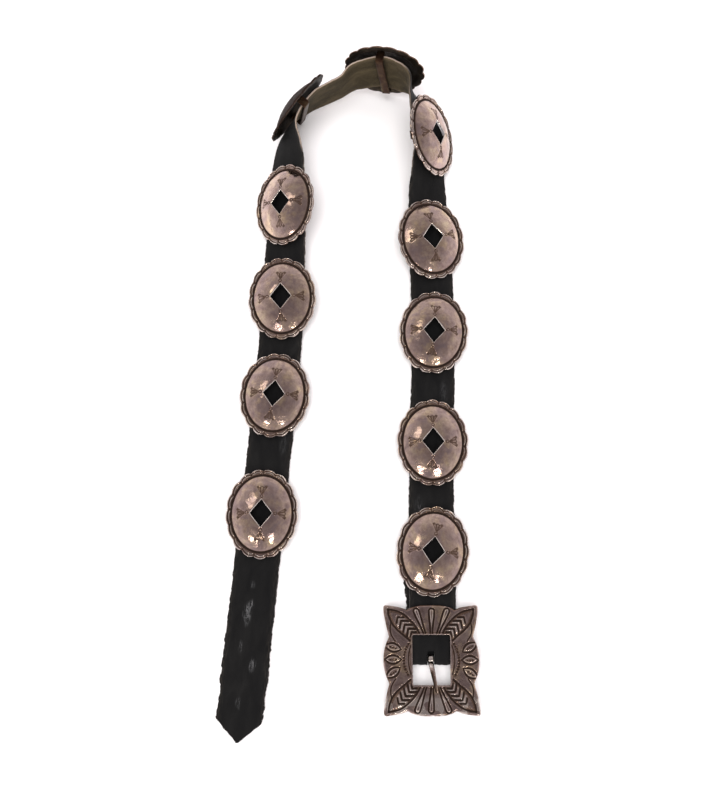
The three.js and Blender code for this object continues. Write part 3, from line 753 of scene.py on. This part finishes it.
    # the concho at the first bend gets painted shade, near-black all over and a little less along one side, and loses
    # its painted highlights
    if number == 5:
        painted_shade = 0.84 + 0.16 * smooth((-y - 0.5 + 2.5 * noise2(x / 7, y / 7, 88)) / 6)
        darkening = np.maximum(darkening, 0.95 * painted_shade)
        bevel_light = bevel_light * (1 - painted_shade)
    rows = [np.stack([x, y, z], -1)]
    darkening_rows, brs = [darkening], [bevel_light]

    def back_ring(share, height, dark=0.5):
        rows.append(np.stack([share * rays[:, 0], share * rays[:, 1], height + 0 * share], -1)[None])
        darkening_rows.append(np.full((1, m), dark))
        brs.append(np.zeros((1, m)))

    # near-black painted shade on the rim's side for the concho at the first bend
    side_dark = 0.95 if number == 5 else 0.45
    back_ring(lobe * 1.004, np.full(m, RIM_THICK - 0.62), side_dark)
    back_ring(lobe * 1.002, np.full(m, 0.28), side_dark)
    back_ring(lobe * 0.990, np.full(m, 0.04))
    for share in np.linspace(0.955, 0.83, 4):
        back_ring(np.full(m, share), np.full(m, 0.0))
    ws = np.linspace(0, 1, 12)
    for wv in ws[1:]:
        share = 0.82 + (hole + 0.02 - 0.82) * wv
        back_ring(share, dome_z(share) - WALL - 0.25 * (1 - wv) ** 3 * 0)
    back_ring(hole, dome_z(hole) - WALL + 0.15)
    back_ring(hole, dome_z(hole) - 0.9)
    # painted highlight on the inner wall of the diamond cut
    brs[-1] += 0.35
    front_rows = s.shape[0]
    P = np.concatenate(rows)
    total = P.shape[0]
    faces = grid_faces(total, m, wrap_rows=True)
    ring_of = faces[:, 0] // m
    slots = np.where((ring_of < front_rows + 2) | (ring_of >= total - 2), 0, 1)
    P = P.reshape(-1, 3)
    oxide_and_shade, painted_highlight = np.concatenate(darkening_rows).ravel(), np.concatenate(brs).ravel()
    # copper loop: a strip bent square round the strap and soldered up inside the dome
    under = dome_z(np.array((LOOP_INNER + LOOP_THICK / 2) / SHORT)) - WALL
    bottom = -(LOOP_THICK + 2 * GAP + STRAP_THICK + SLACK_OVER + SLACK_UNDER)
    c = LOOP_INNER + LOOP_THICK / 2
    zb = bottom + LOOP_THICK / 2
    path = [(-c, under + 0.5)] + [(-c, zz) for zz in np.linspace(under - 0.4, zb + 1.6, 4)]
    path += [(-c + 1.5 * (1 - math.cos(a)), zb + 1.5 - 1.5 * math.sin(a)) for a in np.linspace(0.2, math.pi / 2, 4)]
    path += [(yy, zb - 0.02) for yy in np.linspace(-c + 3.4, c - 3.4, 12)]
    path += [(c - 1.5 * (1 - math.cos(a)), zb + 1.5 - 1.5 * math.sin(a)) for a in np.linspace(math.pi / 2, 0.2, 4)]
    path += [(c, zz) for zz in np.linspace(zb + 1.6, under - 0.4, 4)] + [(c, under + 0.5)]
    path = np.array(path, float)
    tang = np.gradient(path, axis=0)
    tang /= np.linalg.norm(tang, axis=1)[:, None]
    nrm = np.stack([tang[:, 1], -tang[:, 0]], 1)
    hw, ht = LOOP_WIDTH / 2, LOOP_THICK / 2
    section = np.array([(-hw, -ht + 0.3), (-hw + 0.3, -ht), (-hw / 2, -ht), (0, -ht), (hw / 2, -ht), (hw - 0.3, -ht), (hw, -ht + 0.3),
                        (hw, ht - 0.3), (hw - 0.3, ht), (hw / 2, ht), (0, ht), (-hw / 2, ht), (-hw + 0.3, ht), (-hw, ht - 0.3)])
    k = len(section)
    wob = 0.12 * noise2(np.arange(len(path)) / 2.0, 0 * path[:, 0], seed + 30)
    loop = np.zeros((len(path), k, 3))
    loop[..., 0] = section[None, :, 0] * (1 + 0.02 * wob[:, None]) + wob[:, None]
    loop[..., 1] = path[:, None, 0] + section[None, :, 1] * nrm[:, None, 0]
    loop[..., 2] = path[:, None, 1] + section[None, :, 1] * nrm[:, None, 1]
    start = len(P)
    lf = grid_faces(len(path), k, start=start)
    caps = [list(range(start + k - 1, start - 1, -1)), list(range(start + (len(path) - 1) * k, start + len(path) * k))]
    P = np.vstack([P, loop.reshape(-1, 3)])
    oxide_and_shade = np.concatenate([oxide_and_shade, np.zeros(loop.shape[0] * k)])
    painted_highlight = np.concatenate([painted_highlight, np.zeros(loop.shape[0] * k)])
    all_faces = [tuple(f) for f in faces] + [tuple(f) for f in lf] + [tuple(c) for c in caps]
    all_slots = np.concatenate([slots, np.full(len(lf) + 2, 2)])
    return P, all_faces, all_slots, oxide_and_shade, painted_highlight, seed


def conchos():
    for number, (station, turn, slide, lean, lift) in CONCHOS.items():
        P, faces, slots, oxide_and_shade, painted_highlight, seed = concho_mesh(number)
        at, along, across, out = axes_at(station)
        ln = math.radians(lean)
        out = out * math.cos(ln) + np.cross(out, along) * math.sin(ln)
        side = np.cross(out, along)
        t = math.radians(turn)
        ax = along * math.cos(t) + side * math.sin(t)
        ay = -along * math.sin(t) + side * math.cos(t)
        origin = at + across * slide + out * (STRAP_THICK / 2 + GAP + SLACK_OVER + lift)
        world = origin + P[:, :1] * ax + P[:, 1:2] * ay + P[:, 2:] * out
        loc = P + np.array([seed * 7.3, seed * 3.1, seed * 1.7])
        name = f"concho_{number:02d}_silver"
        obj = make(name, world, faces, [SILVER, BACK, COPPER], slots, {"loc": loc, "oxide_and_shade": oxide_and_shade, "painted_highlight": painted_highlight})
        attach(obj, "belt")
        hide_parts(f"concho_{number:02d}")


# ------------------------------------------------------------------ buckle
QUARTER = [
    [(0, 36.0), (8, 35.6), (13.4, 34.2), (16.2, 32.7)],
    [(16.2, 32.7), (20.5, 34.3), (27, 35.4), (30.6, 35.9), (32.0, 35.2), (32.3, 33.4), (31.9, 29.5), (30.4, 22), (28.6, 15.2)],
    [(28.6, 15.2), (31, 9.5), (32.3, 3.5), (32.4, 0)],
]


def buckle_outline():
    q = np.vstack([curve2(part, 8)[:-1] for part in QUARTER])
    right = np.vstack([q, [[32.4, 0]], (q * [1, -1])[::-1][:-1]])
    bottom = np.array([[0, -36.0]])
    left = (right[1:] * [-1, 1])[::-1]
    return np.vstack([right, bottom, left])


def window_outline():
    w, h, r = WINDOW_W / 2, WINDOW_H / 2, WINDOW_R
    out = []
    for cx, cy, a0 in ((w - r, h - r, 0), (-w + r, h - r, 90), (-w + r, -h + r, 180), (w - r, -h + r, 270)):
        for k in range(9):
            a = math.radians(a0 + 90 * k / 8)
            out.append((cx + r * math.cos(a), cy + r * math.sin(a)))
    return np.array(out)


LEAF_IN = [(29.3, 33.2), (24.5, 32.4), (19.8, 30.6), (14.2, 26.2), (10.3, 21.6), (8.0, 17.6)]
LEAF_OUT = [(29.3, 33.2), (28.6, 28.6), (26.2, 23.4), (22.6, 19.4), (18.8, 16.4), (14.4, 12.6)]
CHEVRONS = [(22.6, 28.0), (20.3, 25.6), (17.9, 23.0), (15.5, 20.4), (13.3, 18.2)]
SIDE_LINE = [(27.3, 24.4), (27.8, 20.5), (27.0, 16.2), (24.4, 12.2)]
BEAD_ARC = [(15.4, 10.4), (17.6, 6.0), (18.6, 1.0), (18.2, -4.5), (15.6, -10.2)]
INNER_ARC = [(13.9, 9.4), (15.2, 5), (15.7, 0.1), (15.2, -4.6), (13.9, -9.2)]
# side (1 right), height, tilt in degrees
OVALS = [(1, 8.1, 30), (1, -0.1, -1), (1, -8.5, -33), (-1, 8.2, 13), (-1, 0.3, 0), (-1, -8.1, -34)]


def buckle_relief(P):
    """Height above the plain face, blackness, and painted highlight at points of the buckle face."""
    h = np.zeros(len(P))
    darkening = np.zeros(len(P))
    br = np.zeros(len(P))

    def groove(line, half, deep, black, beads=0.0):
        nonlocal h, darkening, br
        d, along = to_line(P, line)
        # painted highlight along both sides of each groove
        br = np.maximum(br, 0.30 * ridge(d - half - 0.30, 0.42))
        cutd = ridge(d, half)
        if beads:
            pulse = 0.5 + 0.5 * np.cos(2 * np.pi * along / beads)
            cutd = cutd * (0.25 + 0.75 * smooth(pulse * 1.3))
        h = h - deep * cutd
        darkening = np.maximum(darkening, black * smooth(cutd * 1.5))

    for sx in (1, -1):
        for sy in (1, -1):
            f = np.array([sx, sy], float)
            a, b = curve2(LEAF_IN, 8) * f, curve2(LEAF_OUT, 8) * f
            leaf = np.vstack([a, b[::-1]])
            da, _ = to_line(P, a)
            db, _ = to_line(P, b)
            into = np.where(inside(P, leaf), np.minimum(da, db), 0)
            h = h + 0.42 * smooth(into / 3.2)
            groove(a, 1.10, 0.85, 1.0)
            groove(b, 1.10, 0.85, 1.0)
            darkening = np.maximum(darkening, 0.42 * smooth((into - 0.4) / 0.5) * smooth((2.1 - into) / 0.8))
            off_a = np.where(inside(P, leaf), np.abs(da - 1.25), 9)
            off_b = np.where(inside(P, leaf), np.abs(db - 1.25), 9)
            for off, line, where in ((off_b, b, (-1, 1)), (off_a, a, (1, -1))):
                if (sx, sy) == (1, 1) and line is b:
                    continue
                _, along = to_line(P, line)
                dot = ridge(off, 0.55) * smooth((0.5 + 0.5 * np.cos(2 * np.pi * along / 1.25)) * 1.5 - 0.2)
                dot = dot * smooth((along - 2) / 2) * smooth((25 - along) / 2)
                h = h - 0.20 * dot
                darkening = np.maximum(darkening, 0.85 * dot)
            for n_, (vx, vy) in enumerate(CHEVRONS):
                short = 0.62 if n_ == len(CHEVRONS) - 1 else (0.8 if n_ == 0 else 1.0)
                vee = np.array([(vx - 5.0 * short, vy - 0.1), (vx, vy), (vx + 0.9 * short, vy - 4.8 * short)]) * f
                groove(vee, 1.15, 0.95, 1.0)
                face = vee - f * np.array([0.75, 0.95])
                d, _ = to_line(P, face)
                h = h + 0.40 * ridge(d, 0.9) * (into > 0.5)
                # painted highlight along the face of each chevron
                br = np.maximum(br, 0.85 * ridge(d, 0.75) * (into > 0.5))
            groove(curve2(SIDE_LINE, 6) * f, 0.80, 0.60, 1.0)
    for sy in (1, -1):
        for x0, x1 in ((0.2, 0.6 if sy > 0 else -0.8), (4.6, 10.9), (-4.4, -9.9)):
            base, tip = np.array([x0, 17.4 * sy]), np.array([x1, 32.0 * sy])
            ax = (tip - base) / np.linalg.norm(tip - base)
            t = (P - base) @ ax
            v = (P - base) @ np.array([-ax[1], ax[0]])
            length = np.linalg.norm(tip - base)
            half = 0.75 + 1.15 * smooth(t / length)
            end = np.hypot(np.maximum(t - length, 0), v)
            d = np.where(t > length, end - half, np.abs(v) - half)
            ok = t > -0.6
            h = h + np.where(ok, 0.80 * smooth(-d / 1.5), 0)
            rim = np.where(ok, ridge(d, 0.90), 0)
            # painted highlight just inside the rim of each tear-drop, away from its root
            br = np.maximum(br, np.where(ok, 0.6 * ridge(d + 1.05, 0.55) * smooth((t - 2) / 5), 0))
            h = h - 0.80 * rim
            darkening = np.maximum(darkening, 0.95 * smooth(rim * 1.6))
    for side, cy, tilt in OVALS:
        a = math.radians(tilt) * side
        dx, dy = P[:, 0] - side * 26.0, P[:, 1] - cy
        p, q = dx * math.cos(a) + dy * math.sin(a), -dx * math.sin(a) + dy * math.cos(a)
        lens = np.abs(q) / (2.75 * (1 - (np.abs(p) / 5.7) ** 2).clip(0.001)) - 1
        d = np.where(np.abs(p) < 5.6, lens * 2.2 * (1 - (np.abs(p) / 5.9) ** 2), np.hypot(np.abs(p) - 5.6, q))
        h = h + 0.38 * smooth(-d / 1.6)
        rim = ridge(d, 1.0)
        # painted highlight just inside the rim of each oval
        br = np.maximum(br, 0.35 * ridge(d + 0.9, 0.5))
        h = h - 0.70 * rim
        darkening = np.maximum(darkening, 0.95 * smooth(rim * 1.6))
        for k in (-1, 0, 1):
            dot = ridge(np.hypot(p - 1.85 * k, q), 1.05)
            h = h - 0.35 * dot
            darkening = np.maximum(darkening, 1.0 * smooth(dot * 1.6))
    for sx in (1, -1):
        line = curve2(BEAD_ARC, 8) * [sx, 1]
        d, along = to_line(P, line)
        dots = ridge(d, 1.35) * (0.22 + 0.78 * smooth((0.5 + 0.5 * np.cos(2 * np.pi * along / 1.9)) * 1.4 - 0.2))
        h = h - 0.50 * dots
        darkening = np.maximum(darkening, 1.0 * smooth(dots * 1.9))
        groove(curve2(INNER_ARC, 8) * [sx, 1], 0.70, 0.50, 1.0)
    return h, darkening, br


def sweep(path, side, up, half_w, half_t, sides=16, power=2.6):
    """Rounded bar along a path; side and up are its axes at each point."""
    a = 2 * np.pi * np.arange(sides) / sides
    c, s = np.cos(a), np.sin(a)
    c = np.sign(c) * np.abs(c) ** (2 / power)
    s = np.sign(s) * np.abs(s) ** (2 / power)
    return (path[:, None] + side[:, None] * (half_w[:, None] * c)[..., None] + up[:, None] * (half_t[:, None] * s)[..., None])


def buckle():
    m, k = 720, 84
    ang = 2 * np.pi * (np.arange(m) + 0.5) / m
    outer = reach(ang, buckle_outline())
    inner = reach(ang, window_outline())
    d = np.stack([np.cos(ang), np.sin(ang)], 1)
    t = np.linspace(0, 1, k)
    t = t + 0.02 * np.sin(2 * np.pi * t) * -1
    r = inner[None] + (outer - inner)[None] * t[:, None]
    P = (r[..., None] * d[None]).reshape(-1, 2)
    h, darkening, br = buckle_relief(P)
    from_window, _ = to_line(P, np.vstack([window_outline(), window_outline()[:1]]))
    from_edge, _ = to_line(P, np.vstack([buckle_outline(), buckle_outline()[:1]]))
    lip = ridge(from_window - 0.75, 0.85)
    h = h * smooth((from_window - 0.9) / 0.8) * smooth((from_edge - 0.15) / 0.9)
    darkening = darkening * smooth((from_window - 0.6) / 0.5) * smooth((from_edge - 0.0) / 0.5)
    h = h + 0.30 * lip - 0.40 * (1 - np.clip(from_window / 0.45, 0, 1)) ** 2
    darkening = np.maximum(darkening, 0.75 * ridge(from_window - 1.75, 0.4))
    h = h - 0.85 * (1 - np.clip(from_edge / 1.5, 0, 1)) ** 2
    h = h + 0.16 * noise2(P[:, 0] / 7, P[:, 1] / 7, 71) + 0.05 * noise2(P[:, 0] / 2.2, P[:, 1] / 2.2, 72)
    # the tongue of the prong has worn itself a bed
    bed = ridge(np.hypot((P[:, 0] - 2.9) * 0.9, (P[:, 1] + 18.3) * 0.42), 2.6)
    h = h * (1 - bed) - 0.05 * bed
    darkening = darkening * (1 - 0.4 * bed) + 0.05
    br = br * smooth(0.9 - darkening * 1.2) * smooth((from_edge - 0.8) / 0.8) * smooth((from_window - 1.0) / 0.8)
    br = br * np.clip(0.75 + 0.5 * noise2(P[:, 0] / 4, P[:, 1] / 4, 77), 0, 1)
    z = FRAME_BACK + FRAME_THICK - 0.05 + h
    # painted highlight on the lip of the window
    painted_highlight = np.maximum(br, 0.30 * lip * smooth((0.8 - from_window) / 0.3))
    # painted cream highlights on the lobes and petal tips away from the strap
    cream = smooth((-P[:, 1] - 21.5) / 5) * smooth((noise2(P[:, 0] / 3.1, P[:, 1] / 2.6, 79) + 0.08) / 0.30)
    painted_highlight = np.maximum(painted_highlight, 0.62 * cream * smooth(1.15 - darkening * 1.4))
    darkening = np.maximum(darkening, 0.62 * (1 - smooth(from_edge / 1.2)) * smooth((noise2(P[:, 0] / 6, P[:, 1] / 6, 80) + 0.5) / 0.6))
    front = np.column_stack([P, z])
    rows, darkening_rows, brs = [front], [darkening], [painted_highlight]

    def ring(radius, height, dark):
        rows.append(np.column_stack([radius[:, None] * d, np.full(m, height)]))
        darkening_rows.append(np.full(m, dark))
        brs.append(np.zeros(m))

    ring(outer + 0.10, FRAME_BACK + 1.2, 0.25)
    ring(outer + 0.02, FRAME_BACK + 0.35, 0.3)
    ring(outer - 0.45, FRAME_BACK, 0.35)
    for share in (0.75, 0.5, 0.25):
        ring(inner + (outer - inner) * share, FRAME_BACK, 0.35)
    ring(inner + 0.4, FRAME_BACK, 0.35)
    ring(inner, FRAME_BACK + 0.4, 0.3)
    ring(inner, FRAME_BACK + FRAME_THICK - 0.7, 0.2)
    V = np.vstack(rows)
    total = k + len(rows) - 1
    faces = [tuple(f[::-1]) for f in grid_faces(total, m, wrap_rows=True)]
    faces = [f[::-1] for f in faces]
    ring_of = np.array([f[0] for f in faces]) // m
    slots = np.where((ring_of > k + 1) & (ring_of < total - 2), 1, 0)
    oxide_and_shade, painted_highlight = np.concatenate(darkening_rows), np.concatenate(brs)
    # hidden bar, bent up at both ends to the back of the frame
    reach_x = STRAP_WIDTH / 2 + STRAP_OFFSET + 0.5 + BAR_RADIUS
    pts = [(-reach_x, zz) for zz in np.linspace(FRAME_BACK + 0.4, BAR_Z + 1.3, 4)]
    pts += [(-reach_x + 1.2 * (1 - math.cos(a)), BAR_Z + 1.2 * (1 - math.sin(a))) for a in np.linspace(0.25, math.pi / 2, 5)]
    pts += [(xx, BAR_Z) for xx in np.linspace(-reach_x + 2.6, reach_x - 2.6, 24)]
    pts += [(reach_x - 1.2 * (1 - math.cos(a)), BAR_Z + 1.2 * (1 - math.sin(a))) for a in np.linspace(math.pi / 2, 0.25, 5)]
    pts += [(reach_x, zz) for zz in np.linspace(BAR_Z + 1.3, FRAME_BACK + 0.4, 4)]
    pts = np.array(pts)
    path = np.column_stack([pts[:, 0], 0 * pts[:, 0], pts[:, 1]])
    tang = np.gradient(path, axis=0)
    tang /= np.linalg.norm(tang, axis=1)[:, None]
    side = np.tile([0.0, 1.0, 0.0], (len(path), 1))
    up = np.cross(tang, side)
    rad_ = np.full(len(path), BAR_RADIUS - 0.03)
    tube = sweep(path, side, up, rad_, rad_, 18, 2.0)
    start = len(V)
    tf = [tuple(f) for f in grid_faces(len(path), 18, start=start)]
    caps = [tuple(range(start, start + 18))[::-1], tuple(range(start + (len(path) - 1) * 18, start + len(path) * 18))]
    V = np.vstack([V, tube.reshape(-1, 3)])
    extra = tube.shape[0] * 18
    oxide_and_shade, painted_highlight = np.concatenate([oxide_and_shade, np.full(extra, 0.3)]), np.concatenate([painted_highlight, np.zeros(extra)])
    faces = faces + tf + caps
    slots = np.concatenate([slots, np.full(len(tf) + 2, 1)])
    world = V + np.array([BUCKLE_X, BAR_Y, 0])
    obj = make("buckle_silver", world, faces, [SILVER_BUCKLE, BACK], slots, {"loc": V + 400.0, "oxide_and_shade": oxide_and_shade, "painted_highlight": painted_highlight})
    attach(obj, "belt")
    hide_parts("buckle")


def prong():
    """Tongue and eye as one tapering rounded strip; first axis towards the tip, second up, from the bar."""
    mid_r = (BAR_RADIUS + GAP + 3.2) / 2
    wrap = [(mid_r * math.cos(a), mid_r * math.sin(a)) for a in np.radians(np.linspace(58, 390, 24))]
    tongue = curve2([(3.1, 2.2), (5.6, 4.3), (9.0, 6.1), (12.5, 7.55), (15.8, 8.2), (18.6, 8.15), (20.9, 8.0)], 6)
    # the eye closes against the root of the tongue
    path2 = np.array(list(wrap[:20]) + [tuple(p) for p in tongue])
    tang = np.gradient(path2, axis=0)
    tang /= np.linalg.norm(tang, axis=1)[:, None]
    nrm = np.stack([-tang[:, 1], tang[:, 0]], 1)
    n = len(path2)
    t = np.clip((path2[:, 0] - 3.2) / (PRONG_REACH - 3.2), 0, 1)
    t[:20] = 0
    half_w = (3.7 + (2.0 - 3.7) * t) / 2
    half_t = np.where(np.arange(n) < 20, 0.66, 0.66 + 0.28 * np.sin(np.pi * np.clip(t * 1.2, 0, 1)) - 0.08 * t)
    half_w[-1], half_t[-1] = half_w[-1] * 0.45, half_t[-1] * 0.45
    half_w[-2], half_t[-2] = half_w[-2] * 0.86, half_t[-2] * 0.86
    half_t[0] *= 0.6
    lean = -PRONG_LEAN * t
    to3 = lambda p, l: np.stack([-l, -p[:, 0], p[:, 1]], 1)
    path = to3(path2, lean)
    side = np.tile([1.0, 0.0, 0.0], (n, 1))
    up = np.stack([0 * t, -nrm[:, 0], nrm[:, 1]], 1)
    sides = 20
    tube = sweep(path, side, up, half_w, half_t, sides, 2.5)
    tube += (0.05 * noise2(np.arange(n) / 3.0, np.zeros(n), 91))[:, None, None] * up[:, None]
    V = tube.reshape(-1, 3)
    faces = [tuple(f) for f in grid_faces(n, sides)]
    faces += [tuple(range(sides))[::-1], tuple(range((n - 1) * sides, n * sides))]
    oxide_and_shade = np.repeat(np.where(np.arange(n) < 10, 0.15, 0.0), sides)
    # painted shade along one flank of the tongue
    across = ((tube[:, :, 0] - path[:, None, 0]) / half_w[:, None]).ravel()
    oxide_and_shade = np.maximum(oxide_and_shade, 0.90 * smooth((0.30 - across) / 0.6) * np.repeat(smooth((np.arange(n) - 27) / 5), sides))
    # painted highlight on the eye and root of the tongue, faint along the rest, none under the flank's painted shade
    painted_highlight = np.repeat(np.where(np.arange(n) < 26, 0.9, 0.10), sides) * (1 - smooth((oxide_and_shade - 0.15) / 0.3))
    world = V + np.array([BUCKLE_X, BAR_Y, BAR_Z])
    obj = make("prong_silver", world, faces, [SILVER_BUCKLE], None, {"loc": V + 700.0, "oxide_and_shade": oxide_and_shade, "painted_highlight": painted_highlight})
    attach(obj, "prong")
    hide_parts("prong")


strap()
conchos()
buckle()
prong()

# ------------------------------------------------------------------ floor, light and camera
scene = bpy.context.scene
scene.view_settings.view_transform = "Standard"


def stage_set():
    f = Nodes("floor")
    coord = f.new("ShaderNodeTexCoord").outputs["Object"]
    paper = f.noise(coord, 9.0, 3, 0.5)
    f.to("Base Color", f.ramp(paper, [(0.3, (0.88, 0.86, 0.865)), (0.7, (0.90, 0.885, 0.89))]))
    f.to("Roughness", 0.8)
    f.to("Specular IOR Level", 0.2)
    mesh = bpy.data.meshes.new("floor")
    e = 6.0
    mesh.from_pydata([(-e, -e, 0), (e, -e, 0), (e, e, 0), (-e, e, 0)], [], [(0, 1, 2, 3)])
    mesh.materials.append(f.mat)
    floor = bpy.data.objects.new("floor", mesh)
    scene.collection.objects.link(floor)

    world = bpy.data.worlds.new("studio")
    scene.world = world
    world.use_nodes = True
    wt = world.node_tree
    bg = wt.nodes["Background"]
    co = wt.nodes.new("ShaderNodeTexCoord")
    sep = wt.nodes.new("ShaderNodeSeparateXYZ")
    wt.links.new(co.outputs["Generated"], sep.inputs[0])
    ramp = wt.nodes.new("ShaderNodeValToRGB")
    wt.links.new(sep.outputs["Z"], ramp.inputs["Fac"])
    stops = [(0.0, (0.92, 0.88, 0.895)), (0.38, (0.74, 0.70, 0.71)), (0.66, (0.44, 0.41, 0.41)), (1.0, (0.26, 0.24, 0.245))]
    el = ramp.color_ramp.elements
    while len(el) < len(stops):
        el.new(0.5)
    for slot, (pos, colour) in zip(el, stops):
        slot.position, slot.color = pos, (*colour, 1)
    wt.links.new(ramp.outputs["Color"], bg.inputs["Color"])
    bg.inputs["Strength"].default_value = 1.0

    def area(name, at, aim, size, size_y, power, colour=(1, 1, 1), mirrored=False):
        light = bpy.data.lights.new(name, "AREA")
        light.shape = "RECTANGLE"
        light.size, light.size_y = size, size_y
        light.energy = power
        light.color = colour
        obj = bpy.data.objects.new(name, light)
        from mathutils import Vector
        obj.location = at
        obj.rotation_mode = "QUATERNION"
        obj.rotation_quaternion = (Vector(aim) - Vector(at)).to_track_quat("-Z", "Y")
        obj.visible_glossy = mirrored
        scene.collection.objects.link(obj)

    area("key", (-0.25, -0.35, 2.1), (0, 0, 0), 1.8, 1.8, 48)
    area("fill", (0.9, 1.2, 1.9), (0, 0, 0), 1.2, 1.2, 14, (1.0, 0.95, 0.97))
    area("front_right", (0.55, -1.35, 1.45), (0, 0, 0), 0.26, 0.16, 3.2, (1.0, 0.95, 0.86), True)
    area("front_left", (-0.75, -1.2, 1.35), (0, 0, 0), 0.34, 0.14, 2.4, (1.0, 0.93, 0.82), True)
    area("left_window", (-1.3, 0.9, 2.1), (0, 0.1, 0), 0.8, 0.6, 2.6, (1.0, 0.93, 0.80), True)


stage_set()

camera = bpy.data.objects.new("camera", bpy.data.cameras.new("camera"))
scene.collection.objects.link(camera)
camera.location = (0.007372, -0.141706, 0.5769584)
camera.rotation_euler = (math.radians(12.5), 0, 0)
camera.data.sensor_width = 36
camera.data.lens = 36
camera.data.clip_start, camera.data.clip_end = 0.01, 50
scene.camera = camera
